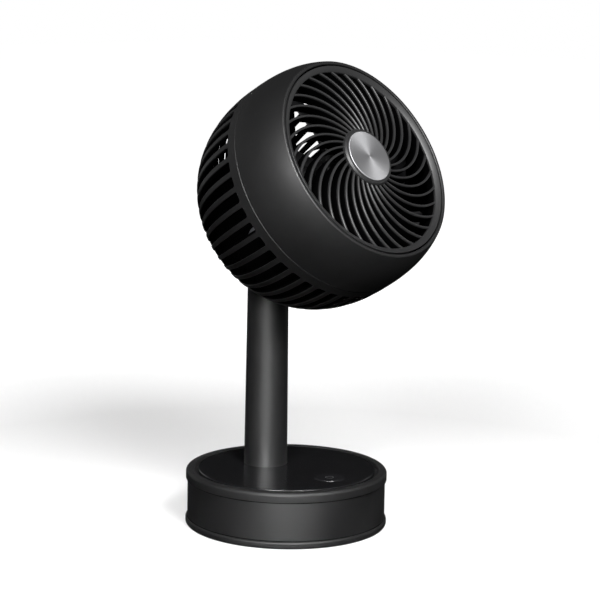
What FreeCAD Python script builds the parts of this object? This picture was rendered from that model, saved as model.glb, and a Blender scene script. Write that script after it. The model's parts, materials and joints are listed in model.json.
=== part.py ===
"""Rechargeable table fan: a globe head on a round stem and a drum base.

Millimetres, +Z up. The origin is the centre of the underside and the front faces -Y.
Head pieces are drawn about their own axis, +Z forwards and +Y upwards, and then placed.
"""

import math
import os

import FreeCAD
import Part

V = FreeCAD.Vector

# Fits and fasteners shared by the whole fan
OVERRUN = 6.0
SEAT_GAP = 0.1
RUN_GAP = 0.05
SCREW_RADIUS = 1.5
SCREW_GAP = 0.2
SCREW_HEAD_RADIUS = 2.8
SCREW_HEAD_HEIGHT = 1.6
SCREW_BITE = 5.0

# Drum base, outside
BASE_RADIUS = 70.0
COLLAR_WIDTH = 5.8
COLLAR_HEIGHT = 6.7
COLLAR_EDGE = 2.6
COLLAR_INNER_EDGE = 0.8
GROOVE_WIDTH = 2.7
PLATE_THICKNESS = 3.2
PLATE_EDGE = 0.5
WALL_STEP = 1.1
HOUSING_WALL = 2.5
FOOT_BULGE = 0.2
FOOT_HEIGHT = 5.5
FOOT_EDGE = 1.6
PAD_THICKNESS = 1.5
PAD_PROUD = 0.5
PAD_MARGIN = 8.0

# Drum base, inside
SPIGOT_DEPTH = 3.0
SPIGOT_WALL = 2.0
COVER_FLOOR = 2.5
DECK_THICKNESS = 2.5
BOSS_RADIUS = 4.0
BOSS_MARGIN = 2.3
BOSS_COUNT = 4
BOSS_FIRST_ANGLE = 45.0
BOSS_BORE_DEPTH = 12.0
BALLAST_THICKNESS = 4.0
BALLAST_GAP = 2.0

# Battery pack
CELL_RADIUS = 9.2
CELL_PITCH = 20.0
CELL_HEADROOM = 1.3
TRAY_FLOOR = 1.2
TRAY_HEIGHT = 9.0
TRAY_MARGIN = 1.3
TRAY_END_WALL = 2.0
TRAY_SIDE_GAP = 1.9
TRAY_BACK_GAP = 6.5
CONTACT_THICKNESS = 0.6
CONTACT_HEIGHT = 9.0

# Power button and its board
BUTTON_SETBACK_SHARE = 0.5714
BUTTON_RADIUS = 10.4
BUTTON_PROUD = 0.3
BUTTON_TRAVEL = 0.8
BUTTON_FLOOR_GAP = 0.4
BUTTON_EDGE = 0.4
BUTTON_REST_GAP = 0.1
PLUNGER_RADIUS = 2.6
PLUNGER_GAP = 0.3
PLUNGER_REACH = 3.5
SWITCH_WIDTH = 6.0
SWITCH_HEIGHT = 3.5
ACTUATOR_RADIUS = 1.75
ACTUATOR_HEIGHT = 1.5
BOARD_WIDTH_SHARE = 0.68
BOARD_DEPTH_SHARE = 0.48
BOARD_THICKNESS = 1.6
POST_RADIUS = 2.6
POST_INSET = 4.0

# Charging inlet at the back
CHARGE_BOARD_WIDTH = 24.0
CHARGE_BOARD_DEPTH = 16.0
CHARGE_BOARD_MARGIN = 3.4
CHARGE_POST_HEIGHT = 8.4
CHARGE_POST_SETBACK = 6.0
CHARGE_POST_SPREAD = 9.0
PORT_WIDTH = 8.9
PORT_HEIGHT = 3.3
PORT_LENGTH = 7.4
PORT_SHELL = 0.35
PORT_BACK = 1.2
PORT_RECESS = 0.6
PORT_GAP = 0.3
PORT_TONGUE_WIDTH = 6.6
PORT_TONGUE_THICKNESS = 0.7
PORT_TONGUE_SETBACK = 0.8

# Stem
STEM_SETBACK_SHARE = 0.2857
STEM_LENGTH = 148.5
STEM_TOP_RADIUS = 14.1
STEM_TAPER = 1.1
STEM_WALL = 2.1
STEM_PLATE_GAP = 0.15
FLANGE_RADIUS = 25.0
FLANGE_THICKNESS = 3.0
FLANGE_SCREW_CIRCLE = 20.0
FLANGE_SCREW_COUNT = 4
SOCKET_REACH = 27.0
WIRE_BORE = 6.0

# Tilting knuckle at the stem's top
KNUCKLE_PLUG = 20.0
KNUCKLE_CAP = 1.5
KNUCKLE_WIDTH = 12.6
KNUCKLE_RADIUS = 9.0
EAR_RADIUS = 9.5
EAR_THICKNESS = 4.0
EAR_DROP = 2.5
EAR_ROOT_UP = 10.0
EAR_ROOT_DOWN = 15.0
HINGE_GAP = 0.1
WASHER_THICKNESS = 0.5
WASHER_RADIUS = 8.0
PIN_RADIUS = 3.0
PIN_HEAD_RADIUS = 5.0
PIN_HEAD_HEIGHT = 2.0
NUT_RADIUS = 5.2
NUT_HEIGHT = 4.0

# Head attitude
HEAD_PITCH = 30.5
TILT_UP = 12.0
TILT_DOWN = 30.0
PIVOT_INSET = 19.75
PIVOT_BELOW = 9.95

# Globe shells
GLOBE_RADIUS = 79.8
GLOBE_FRONT_SHARE = 0.9586
GLOBE_BACK_SHARE = 1.02
GLOBE_FRONT_POWER = 2.59
GLOBE_BACK_POWER = 2.29
GLOBE_WALL = 3.0
SEAM_AHEAD = 6.0
LIP_AHEAD_SHARE = 0.5627
LIP_EDGE_SHARE = 0.4
SEAM_EDGE = 0.35
FLANGE_WIDTH = 5.8
SHROUD_FLANGE = 2.0
SHROUD_BOSS_RADIUS = 3.1
SHROUD_BOSS_HEIGHT = 5.0
CURVE_STEPS = 6

# Slotted rear cage
SLOT_COUNT = 46
SLOT_WIDTH_SHARE = 0.68
SLOT_BEHIND_SEAM = 7.2
SLOT_CORNER = 1.5
SLOT_CORNER_LIMIT_SHARE = 0.48
REAR_DISC_SHARE = 0.6266
CAGE_LEDGE_DEPTH = 3.1
CAGE_LEDGE_THICKNESS = 2.0
GATE_GAP = 1.2
GATE_RIM = 3.0
CHEEK_GAP = 1.0
CHEEK_THICKNESS = 2.0
CHEEK_LAP = 2.0
CHEEK_SETBACK = 15.5
CHEEK_TOP_SHARE = 0.5

# Front grille
GRILLE_GAP = 1.0
GRILLE_SEAT_DEPTH = 5.4
GRILLE_DEPTH = 9.4
LIP_BORE_SHARE = 0.8672
LEDGE_WIDTH = 3.0
LEDGE_THICKNESS = 2.0
RING_WIDTH = 4.0
RING_FALL = 2.0
RING_SETBACK = 0.1
RING_SKIRT = 1.6
VANE_COUNT = 33
VANE_THICKNESS = 1.6
VANE_SWEEP = 43.5
VANE_RISE = 1.1
HUB_RADIUS = 20.5
HUB_WALL = 2.4
HUB_PROUD = 2.6
HUB_EDGE = 1.2
CAP_RADIUS = 17.85
CAP_THICKNESS = 1.5
CAP_SINK = 0.9
CAP_EDGE = 0.4

# Impeller
IMPELLER_INSET = 3.2
IMPELLER_GAP = 4.5
IMPELLER_LENGTH = 23.0
IMPELLER_HUB_RADIUS = 19.0
IMPELLER_HUB_WALL = 2.5
IMPELLER_NOSE = 5.0
IMPELLER_WEB = 4.0
IMPELLER_BOSS_RADIUS = 6.5
BLADE_COUNT = 7
BLADE_FROM_REAR = 9.5
BLADE_THICKNESS = 2.2
BLADE_EDGE = 1.0
BLADE_CAMBER = 2.4
ROOT_CHORD = 20.0
ROOT_PITCH = 48.0
TIP_CHORD = 46.0
TIP_PITCH = 28.0
SHAFT_RADIUS = 2.5
SHAFT_TAIL = 1.5
SHAFT_NOSE = 5.5
SHAFT_NUT_RADIUS = 5.5
SHAFT_NUT_HEIGHT = 4.0

# Motor and its bracket
MOTOR_GAP = 2.0
MOTOR_RADIUS = 17.0
MOTOR_LENGTH = 24.0
MOTOR_EDGE = 1.5
MOTOR_BORE_GAP = 0.7
BUSH_WALL = 2.0
BUSH_LENGTH = 4.0
BRACKET_THICKNESS = 3.0
BRACKET_DISC_RADIUS = 20.0
BRACKET_ARM_COUNT = 4
BRACKET_ARM_WIDTH = 8.0
BRACKET_ARM_HEIGHT = 4.0
YOKE_BASE_RADIUS = 18.0
YOKE_BASE_THICKNESS = 3.5
HEAD_SCREW_COUNT = 4
HEAD_SCREW_FIRST_ANGLE = 45.0

# Radii of the base, worked out from the sizes above
wall_radius = BASE_RADIUS - WALL_STEP
wall_bore = wall_radius - HOUSING_WALL
spigot_radius = wall_bore - SEAT_GAP
spigot_bore = spigot_radius - SPIGOT_WALL
groove_radius = BASE_RADIUS - COLLAR_WIDTH
plate_radius = groove_radius - GROOVE_WIDTH
pad_radius = BASE_RADIUS - PAD_MARGIN
boss_circle = spigot_bore - BOSS_MARGIN - BOSS_RADIUS
ballast_radius = boss_circle - BOSS_RADIUS - BALLAST_GAP
stem_y = STEM_SETBACK_SHARE * BASE_RADIUS
button_y = -BUTTON_SETBACK_SHARE * BASE_RADIUS
board_width = BOARD_WIDTH_SHARE * BASE_RADIUS
board_depth = BOARD_DEPTH_SHARE * BASE_RADIUS

# Levels of the base, stacked from the floor up
floor_top = PAD_THICKNESS + COVER_FLOOR
ballast_top = floor_top + BALLAST_THICKNESS
cell_level = ballast_top + TRAY_FLOOR + CELL_RADIUS
flange_bottom = cell_level + CELL_RADIUS + CELL_HEADROOM + SCREW_HEAD_HEIGHT
deck_bottom = flange_bottom + FLANGE_THICKNESS
deck_top = deck_bottom + DECK_THICKNESS
base_top = deck_top + PLATE_THICKNESS
collar_seam = base_top - COLLAR_HEIGHT
plunger_bottom = deck_bottom - PLUNGER_REACH
actuator_top = plunger_bottom - BUTTON_TRAVEL - BUTTON_REST_GAP
switch_top = actuator_top - ACTUATOR_HEIGHT
board_top = switch_top - SWITCH_HEIGHT
charge_board_bottom = floor_top + CHARGE_POST_HEIGHT
charge_board_top = charge_board_bottom + BOARD_THICKNESS
charge_board_back = wall_bore - CHARGE_BOARD_MARGIN
charge_post_y = charge_board_back - CHARGE_POST_SETBACK
charge_board_front = charge_board_back - CHARGE_BOARD_DEPTH
port_level = charge_board_top + PORT_HEIGHT / 2
port_mouth = wall_radius - PORT_RECESS

# Battery pack, between the bosses and ahead of the charging board
tray_half = boss_circle * math.cos(math.radians(BOSS_FIRST_ANGLE)) - BOSS_RADIUS - TRAY_SIDE_GAP
cell_length = 2 * (tray_half - TRAY_END_WALL - CONTACT_THICKNESS)
tray_depth = CELL_PITCH + 2 * CELL_RADIUS + 2 * TRAY_MARGIN
tray_y = charge_board_front - TRAY_BACK_GAP - tray_depth / 2

# Stem and hinge
stem_foot_radius = STEM_TOP_RADIUS + STEM_TAPER
stem_bore = STEM_TOP_RADIUS - STEM_WALL
stem_top = deck_top + STEM_LENGTH
knuckle_top = stem_top + KNUCKLE_CAP
pivot_level = knuckle_top + EAR_DROP + EAR_RADIUS
ear_inside = KNUCKLE_WIDTH / 2 + HINGE_GAP + WASHER_THICKNESS + HINGE_GAP
ear_outside = ear_inside + EAR_THICKNESS

# Globe, from its radius
globe_front = GLOBE_FRONT_SHARE * GLOBE_RADIUS
globe_back = GLOBE_BACK_SHARE * GLOBE_RADIUS
lip_ahead = LIP_AHEAD_SHARE * GLOBE_RADIUS
lip_bore = LIP_BORE_SHARE * GLOBE_RADIUS
rear_disc_radius = REAR_DISC_SHARE * GLOBE_RADIUS
impeller_radius = lip_bore - IMPELLER_INSET
pivot_behind = globe_back - PIVOT_INSET

# Stations along the head's axis, counted forwards from the globe's centre
grille_seat = lip_ahead - GRILLE_SEAT_DEPTH
vane_back = lip_ahead - GRILLE_DEPTH
hub_front = lip_ahead + HUB_PROUD
impeller_front = vane_back - IMPELLER_GAP
impeller_back = impeller_front - IMPELLER_LENGTH
motor_front = impeller_back - MOTOR_GAP
motor_back = motor_front - MOTOR_LENGTH
bracket_back = motor_back - BRACKET_THICKNESS
yoke_back = bracket_back - YOKE_BASE_THICKNESS
slot_front = SEAM_AHEAD - SLOT_BEHIND_SEAM
ledge_front = SEAM_AHEAD - FLANGE_WIDTH + SEAT_GAP

# Radii of the head
cage_bore = GLOBE_RADIUS - GLOBE_WALL - 2 * SEAT_GAP
bracket_ring_radius = cage_bore - SEAT_GAP
bracket_ring_bore = bracket_ring_radius - FLANGE_WIDTH
head_screw_circle = bracket_ring_radius - FLANGE_WIDTH / 2
motor_screw_circle = ear_outside + SCREW_HEAD_RADIUS + SCREW_GAP
ring_radius = lip_bore - GRILLE_GAP
ring_bore = ring_radius - RING_WIDTH
bush_radius = SHAFT_RADIUS + RUN_GAP + BUSH_WALL


def save(name, shape):
    """Write one named piece and report its solids."""
    if not shape.isValid():
        print("not valid:", name)
    shape.exportStep(os.path.join("parts", name + ".step"))
    print(name, len(shape.Solids), round(shape.Volume))


def turned(points):
    """Solid of revolution about Z from a closed outline of (radius, height) points."""
    corners = [V(radius, 0, height) for radius, height in points]
    wire = Part.makePolygon(corners + corners[:1])
    return Part.Face(wire).revolve(V(0, 0, 0), V(0, 0, 1), 360)


def turned_edges(edges):
    """Solid of revolution about Z from the edges of a closed outline in the XZ plane."""
    wire = Part.Wire(Part.__sortEdges__(edges))
    return Part.Face(wire).revolve(V(0, 0, 0), V(0, 0, 1), 360)


def drum(radius, bottom, top, x=0, y=0):
    """Upright cylinder between two levels."""
    return Part.makeCylinder(radius, top - bottom, V(x, y, bottom))


def cross_drum(radius, left, right, y, z):
    """Cylinder along X between two places."""
    return Part.makeCylinder(radius, right - left, V(left, y, z), V(1, 0, 0))


def block(width, depth, bottom, top, x=0, y=0):
    """Upright box centred on a place."""
    corner = V(x - width / 2, y - depth / 2, bottom)
    return Part.makeBox(width, depth, top - bottom, corner)


def merged(shapes):
    """One solid from pieces that meet."""
    return shapes[0].fuse(shapes[1:]).removeSplitter()


def around(shape, count, first=0):
    """Copies of a shape turned evenly about Z."""
    copies = []
    for index in range(count):
        copy = shape.copy()
        copy.rotate(V(0, 0, 0), V(0, 0, 1), first + 360 * index / count)
        copies.append(copy)
    return copies


def ring_places(radius, count, first, y=0):
    """Even places on a circle as (x, y)."""
    places = []
    for index in range(count):
        angle = math.radians(first + 360 * index / count)
        places.append((radius * math.cos(angle), y + radius * math.sin(angle)))
    return places


def screw(x, y, seat, tip):
    """Plain screw whose head sits on a seat, its shank running to the tip's level."""
    outward = math.copysign(SCREW_HEAD_HEIGHT, seat - tip)
    head = drum(SCREW_HEAD_RADIUS, min(seat, seat + outward), max(seat, seat + outward), x, y)
    shank = drum(SCREW_RADIUS, min(seat, tip), max(seat, tip), x, y)
    return merged([head, shank])


def rim_edges(shape, radius, level):
    """Circular edges of a given radius at a given level."""
    found = []
    for edge in shape.Edges:
        if edge.Degenerated or not isinstance(edge.Curve, Part.Circle):
            continue
        curve = edge.Curve
        if abs(curve.Radius - radius) < SEAT_GAP and abs(curve.Center.z - level) < SEAT_GAP:
            found.append(edge)
    return found


def rounded(shape, size, radius, level):
    """Round the circular edges of a given radius at a given level."""
    return shape.makeFillet(size, rim_edges(shape, radius, level))


def stadium(width, height, front, back, level):
    """Bar along Y with rounded ends, lying at a level."""
    half = (width - height) / 2
    left = Part.makeCylinder(height / 2, back - front, V(-half, front, level), V(0, 1, 0))
    right = Part.makeCylinder(height / 2, back - front, V(half, front, level), V(0, 1, 0))
    middle = block(2 * half, back - front, level - height / 2, level + height / 2, 0, (front + back) / 2)
    return merged([left, middle, right])


# Base pieces


def rubber_pad():
    """Non-slip disc that the fan stands on."""
    return drum(pad_radius, 0, PAD_THICKNESS)


def charge_posts(bottom, top, radius):
    """Two short columns under the charging board."""
    return [drum(radius, bottom, top, side * CHARGE_POST_SPREAD, charge_post_y) for side in (-1, 1)]


def bottom_cover():
    """Floor of the drum with the rounded foot ring and a spigot inside the wall."""
    foot_radius = BASE_RADIUS + FOOT_BULGE
    recess = pad_radius + SEAT_GAP
    cover = turned([
        (0, PAD_THICKNESS),
        (recess, PAD_THICKNESS),
        (recess, PAD_PROUD),
        (foot_radius, PAD_PROUD),
        (foot_radius, FOOT_HEIGHT),
        (spigot_radius, FOOT_HEIGHT),
        (spigot_radius, FOOT_HEIGHT + SPIGOT_DEPTH),
        (spigot_bore, FOOT_HEIGHT + SPIGOT_DEPTH),
        (spigot_bore, floor_top),
        (0, floor_top),
    ])
    for level in (PAD_PROUD, FOOT_HEIGHT):
        cover = rounded(cover, FOOT_EDGE, foot_radius, level)
    cover = merged([cover] + charge_posts(floor_top, charge_board_bottom, POST_RADIUS))
    holes = charge_posts(floor_top, charge_board_bottom, SCREW_RADIUS)
    seat = PAD_THICKNESS + SCREW_HEAD_HEIGHT
    for x, y in ring_places(boss_circle, BOSS_COUNT, BOSS_FIRST_ANGLE):
        holes.append(drum(SCREW_RADIUS + SCREW_GAP, PAD_PROUD, floor_top, x, y))
        holes.append(drum(SCREW_HEAD_RADIUS + SCREW_GAP, PAD_PROUD, seat, x, y))
    return cover.cut(holes)


def base_screws():
    """Screws hidden by the pad that close the drum."""
    seat = PAD_THICKNESS + SCREW_HEAD_HEIGHT
    tip = floor_top + BOSS_BORE_DEPTH
    places = ring_places(boss_circle, BOSS_COUNT, BOSS_FIRST_ANGLE)
    return Part.makeCompound([screw(x, y, seat, tip) for x, y in places])


def base_wall():
    """Plain drum wall with the charging inlet's window at the back."""
    wall = drum(wall_radius, FOOT_HEIGHT, collar_seam)
    bore = drum(wall_bore, FOOT_HEIGHT, collar_seam)
    width = PORT_WIDTH + 2 * PORT_GAP
    height = PORT_HEIGHT + 2 * PORT_GAP
    window = stadium(width, height, spigot_bore, BASE_RADIUS + OVERRUN, port_level)
    return wall.cut([bore, window])


def board_places():
    """Places of the four posts that hold the control board."""
    x = board_width / 2 - POST_INSET
    y = board_depth / 2 - POST_INSET
    return [(i * x, button_y + j * y) for i in (-1, 1) for j in (-1, 1)]


def upper_housing():
    """Collar and deck in one moulding, with screw bosses and board posts below the deck."""
    housing = turned([
        (0, deck_bottom),
        (spigot_bore, deck_bottom),
        (spigot_bore, collar_seam - SPIGOT_DEPTH),
        (spigot_radius, collar_seam - SPIGOT_DEPTH),
        (spigot_radius, collar_seam),
        (BASE_RADIUS, collar_seam),
        (BASE_RADIUS, base_top),
        (groove_radius, base_top),
        (groove_radius, deck_top),
        (0, deck_top),
    ])
    housing = rounded(housing, COLLAR_EDGE, BASE_RADIUS, base_top)
    housing = rounded(housing, COLLAR_INNER_EDGE, groove_radius, base_top)
    columns = []
    holes = []
    for x, y in ring_places(boss_circle, BOSS_COUNT, BOSS_FIRST_ANGLE):
        columns.append(drum(BOSS_RADIUS, floor_top, deck_bottom, x, y))
        holes.append(drum(SCREW_RADIUS, floor_top, floor_top + BOSS_BORE_DEPTH, x, y))
    for x, y in board_places():
        columns.append(drum(POST_RADIUS, board_top, deck_bottom, x, y))
        holes.append(drum(SCREW_RADIUS, board_top, board_top + SCREW_BITE, x, y))
    for x, y in ring_places(FLANGE_SCREW_CIRCLE, FLANGE_SCREW_COUNT, BOSS_FIRST_ANGLE, stem_y):
        holes.append(drum(SCREW_RADIUS, deck_bottom, deck_top, x, y))
    holes.append(drum(stem_bore, deck_bottom, deck_top, 0, stem_y))
    holes.append(drum(PLUNGER_RADIUS + PLUNGER_GAP, deck_bottom, deck_top, 0, button_y))
    return merged([housing] + columns).cut(holes)


def top_plate():
    """Glossy round panel lying on the deck, with holes for the stem and the button."""
    plate = drum(plate_radius, deck_top, base_top)
    plate = plate.makeChamfer(PLATE_EDGE, rim_edges(plate, plate_radius, base_top))
    stem_hole = drum(stem_foot_radius + STEM_PLATE_GAP, deck_top, base_top, 0, stem_y)
    button_hole = drum(BUTTON_RADIUS + SEAT_GAP, deck_top, base_top, 0, button_y)
    return plate.cut([stem_hole, button_hole])


def ballast_plate():
    """Steel disc that keeps the fan upright."""
    return drum(ballast_radius, floor_top, ballast_top)


def cell_places():
    """Y of each battery cell in the tray."""
    return [tray_y - CELL_PITCH / 2, tray_y + CELL_PITCH / 2]


def battery_tray():
    """Cradle for the two cells with an upright wall at each end."""
    inside = cell_length + 2 * CONTACT_THICKNESS
    cradle = block(inside, tray_depth, ballast_top, ballast_top + TRAY_HEIGHT, 0, tray_y)
    grooves = []
    groove = CELL_RADIUS + SEAT_GAP
    for y in cell_places():
        grooves.append(cross_drum(groove, -cell_length, cell_length, y, cell_level + SEAT_GAP))
    cradle = cradle.cut(grooves)
    ends = []
    for side in (-1, 1):
        x = side * (inside + TRAY_END_WALL) / 2
        ends.append(block(TRAY_END_WALL, tray_depth, ballast_top, cell_level + CELL_RADIUS, x, tray_y))
    return merged([cradle] + ends)


def battery_cells():
    """Two round cells lying across the base."""
    half = cell_length / 2
    return Part.makeCompound([cross_drum(CELL_RADIUS, -half, half, y, cell_level) for y in cell_places()])


def battery_contacts():
    """Sheet contacts between the cells' ends and the tray's end walls."""
    bottom = cell_level - CONTACT_HEIGHT / 2
    top = cell_level + CONTACT_HEIGHT / 2
    plates = []
    for side in (-1, 1):
        x = side * (cell_length + CONTACT_THICKNESS) / 2
        plates.append(block(CONTACT_THICKNESS, CELL_PITCH + CELL_RADIUS, bottom, top, x, tray_y))
    base = ballast_top + TRAY_HEIGHT
    cradle = block(2 * cell_length, 2 * CELL_PITCH + 2 * CELL_RADIUS, 0, base, 0, tray_y)
    return Part.makeCompound([plate.cut(cradle) for plate in plates])


def control_board():
    """Circuit board hung from the deck's posts."""
    board = block(board_width, board_depth, board_top - BOARD_THICKNESS, board_top, 0, button_y)
    holes = []
    for x, y in board_places():
        holes.append(drum(SCREW_RADIUS + SCREW_GAP, board_top - BOARD_THICKNESS, board_top, x, y))
    return board.cut(holes)


def board_screws():
    """Screws holding the control board, driven from below."""
    seat = board_top - BOARD_THICKNESS
    return Part.makeCompound([screw(x, y, seat, board_top + SCREW_BITE) for x, y in board_places()])


def tact_switch():
    """Switch under the button's plunger."""
    body = block(SWITCH_WIDTH, SWITCH_WIDTH, board_top, switch_top, 0, button_y)
    actuator = drum(ACTUATOR_RADIUS, switch_top, actuator_top, 0, button_y)
    return merged([body, actuator])


def power_button():
    """Round key in the plate with a plunger through the deck."""
    key_bottom = deck_top + BUTTON_TRAVEL + BUTTON_FLOOR_GAP
    key_top = base_top + BUTTON_PROUD
    key = drum(BUTTON_RADIUS, key_bottom, key_top, 0, button_y)
    key = key.makeFillet(BUTTON_EDGE, rim_edges(key, BUTTON_RADIUS, key_top))
    plunger = drum(PLUNGER_RADIUS, plunger_bottom, key_bottom, 0, button_y)
    return merged([key, plunger])


def charge_board():
    """Small board that carries the charging inlet."""
    y = charge_board_back - CHARGE_BOARD_DEPTH / 2
    board = block(CHARGE_BOARD_WIDTH, CHARGE_BOARD_DEPTH, charge_board_bottom, charge_board_top, 0, y)
    return board.cut(charge_posts(charge_board_bottom, charge_board_top, SCREW_RADIUS + SCREW_GAP))


def charge_screws():
    """Screws holding the charging board on its posts."""
    tip = charge_board_bottom - SCREW_BITE
    places = [(side * CHARGE_POST_SPREAD, charge_post_y) for side in (-1, 1)]
    return Part.makeCompound([screw(x, y, charge_board_top, tip) for x, y in places])


def charging_port():
    """Flat oval metal socket with its contact tongue."""
    back = port_mouth - PORT_LENGTH
    shell = stadium(PORT_WIDTH, PORT_HEIGHT, back, port_mouth, port_level)
    inner_width = PORT_WIDTH - 2 * PORT_SHELL
    inner_height = PORT_HEIGHT - 2 * PORT_SHELL
    hollow = stadium(inner_width, inner_height, back + PORT_BACK, port_mouth + OVERRUN, port_level)
    tongue_depth = PORT_LENGTH - PORT_TONGUE_SETBACK
    tongue_bottom = port_level - PORT_TONGUE_THICKNESS / 2
    tongue_top = port_level + PORT_TONGUE_THICKNESS / 2
    tongue = block(PORT_TONGUE_WIDTH, tongue_depth, tongue_bottom, tongue_top, 0, back + tongue_depth / 2)
    return merged([shell.cut(hollow), tongue])


# Stem pieces


def stem_socket():
    """Flange under the deck with a hollow plug inside the stem."""
    flange = drum(FLANGE_RADIUS, flange_bottom, deck_bottom, 0, stem_y)
    plug = drum(stem_bore - SEAT_GAP, deck_bottom, deck_top + SOCKET_REACH, 0, stem_y)
    holes = [drum(WIRE_BORE, flange_bottom, deck_top + SOCKET_REACH, 0, stem_y)]
    for x, y in ring_places(FLANGE_SCREW_CIRCLE, FLANGE_SCREW_COUNT, BOSS_FIRST_ANGLE, stem_y):
        holes.append(drum(SCREW_RADIUS + SCREW_GAP, flange_bottom, deck_bottom, x, y))
    return merged([flange, plug]).cut(holes)


def socket_screws():
    """Screws from the flange up into the deck."""
    places = ring_places(FLANGE_SCREW_CIRCLE, FLANGE_SCREW_COUNT, BOSS_FIRST_ANGLE, stem_y)
    return Part.makeCompound([screw(x, y, flange_bottom, deck_top) for x, y in places])


def stem_tube():
    """Gently tapered round stem."""
    tube = Part.makeCone(stem_foot_radius, STEM_TOP_RADIUS, STEM_LENGTH, V(0, stem_y, deck_top))
    return tube.cut(drum(stem_bore, deck_top, stem_top, 0, stem_y))


def stem_knuckle():
    """Plug in the stem's top with a round-ended tongue that carries the hinge pin."""
    plug = drum(stem_bore - SEAT_GAP, stem_top - KNUCKLE_PLUG, stem_top, 0, stem_y)
    cap = drum(STEM_TOP_RADIUS, stem_top, knuckle_top, 0, stem_y)
    tongue = block(KNUCKLE_WIDTH, 2 * KNUCKLE_RADIUS, knuckle_top, pivot_level, 0, stem_y)
    eye = cross_drum(KNUCKLE_RADIUS, -KNUCKLE_WIDTH / 2, KNUCKLE_WIDTH / 2, stem_y, pivot_level)
    bore = cross_drum(PIN_RADIUS + RUN_GAP, -KNUCKLE_WIDTH, KNUCKLE_WIDTH, stem_y, pivot_level)
    return merged([plug, cap, tongue, eye]).cut(bore)


def friction_washers():
    """Thin rings beside the tongue that hold the tilt by friction."""
    rings = []
    for side in (-1, 1):
        near = side * (KNUCKLE_WIDTH / 2 + HINGE_GAP)
        far = near + side * WASHER_THICKNESS
        ring = cross_drum(WASHER_RADIUS, min(near, far), max(near, far), stem_y, pivot_level)
        bore = cross_drum(PIN_RADIUS + RUN_GAP, min(near, far), max(near, far), stem_y, pivot_level)
        rings.append(ring.cut(bore))
    return Part.makeCompound(rings)


# Head pieces, drawn about the head's own axis


def globe_point(angle, front, inset):
    """Point of the globe's outline at an angle from its widest circle, as (radius, station)."""
    power = GLOBE_FRONT_POWER if front else GLOBE_BACK_POWER
    reach = globe_front - inset if front else inset - globe_back
    radius = (GLOBE_RADIUS - inset) * max(math.cos(angle), 0) ** (2 / power)
    return V(radius, 0, reach * math.sin(angle) ** (2 / power))


def globe_angle(station, front, inset):
    """Angle at which the globe's outline reaches a station."""
    power = GLOBE_FRONT_POWER if front else GLOBE_BACK_POWER
    reach = globe_front - inset if front else inset - globe_back
    return math.asin((station / reach) ** (power / 2))


def globe_curve(first, last, front, inset=0):
    """Smooth edge along the globe's outline between two angles."""
    points = []
    for index in range(CURVE_STEPS + 1):
        points.append(globe_point(first + (last - first) * index / CURVE_STEPS, front, inset))
    curve = Part.BSplineCurve()
    curve.interpolate(points)
    return curve.toShape()


def outline(*corners):
    """Straight edges through (radius, station) corners."""
    points = [V(radius, 0, station) for radius, station in corners]
    return [Part.makeLine(a, b) for a, b in zip(points, points[1:])]


def edge_end(edge, last):
    """First or last point of an edge as (radius, station)."""
    point = edge.valueAt(edge.LastParameter if last else edge.FirstParameter)
    return (point.x, point.z)


def front_shroud():
    """Front shell of the globe, with a ledge for the grille and a flange at the seam."""
    ledge_back = grille_seat - LEDGE_THICKNESS
    flange_front = SEAM_AHEAD + SHROUD_FLANGE
    skin = globe_curve(globe_angle(SEAM_AHEAD, True, 0), globe_angle(lip_ahead, True, 0), True)
    lining_first = globe_angle(flange_front, True, GLOBE_WALL)
    lining = globe_curve(lining_first, globe_angle(ledge_back, True, GLOBE_WALL), True, GLOBE_WALL)
    ledge_bore = lip_bore - LEDGE_WIDTH
    lip = outline(
        edge_end(skin, True),
        (lip_bore, lip_ahead),
        (lip_bore, grille_seat),
        (ledge_bore, grille_seat),
        (ledge_bore, ledge_back),
        edge_end(lining, True),
    )
    flange = outline(
        edge_end(lining, False),
        (bracket_ring_bore, flange_front),
        (bracket_ring_bore, SEAM_AHEAD),
        edge_end(skin, False),
    )
    shell = turned_edges([skin, lining] + lip + flange)
    rim = rim_edges(shell, edge_end(skin, True)[0], lip_ahead) + rim_edges(shell, lip_bore, lip_ahead)
    lip_width = edge_end(skin, True)[0] - lip_bore
    shell = shell.makeFillet(LIP_EDGE_SHARE * lip_width, rim)
    shell = shell.makeChamfer(SEAM_EDGE, rim_edges(shell, edge_end(skin, False)[0], SEAM_AHEAD))
    boss = drum(SHROUD_BOSS_RADIUS, SEAM_AHEAD, flange_front + SHROUD_BOSS_HEIGHT, head_screw_circle)
    bosses = around(boss, HEAD_SCREW_COUNT, HEAD_SCREW_FIRST_ANGLE)
    pilot = drum(SCREW_RADIUS, SEAM_AHEAD, flange_front + SCREW_BITE, head_screw_circle)
    return merged([shell] + bosses).cut(around(pilot, HEAD_SCREW_COUNT, HEAD_SCREW_FIRST_ANGLE))


def pivot_point():
    """Tilt axis in the head's own coordinates."""
    return V(0, -PIVOT_BELOW, -pivot_behind)


def stem_direction(pitch):
    """Downward direction of the stem as the head sees it at a pitch."""
    angle = math.radians(pitch)
    return V(0, -math.cos(angle), -math.sin(angle))


def stem_gate(radius):
    """Room that the stem sweeps through as the head tilts, for a stem of a given radius."""
    pivot = pivot_point()
    lines = [stem_direction(HEAD_PITCH + TILT_UP), stem_direction(HEAD_PITCH - TILT_DOWN)]
    reach = globe_back + OVERRUN
    ends = [Part.makeCylinder(radius, reach, pivot, line) for line in lines]
    side = V(-radius, 0, 0)
    corners = [pivot + side] + [pivot + side + line * reach for line in lines]
    wedge = Part.Face(Part.makePolygon(corners + corners[:1])).extrude(V(2 * radius, 0, 0))
    return ends[0].fuse([wedge, ends[1]])


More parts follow.
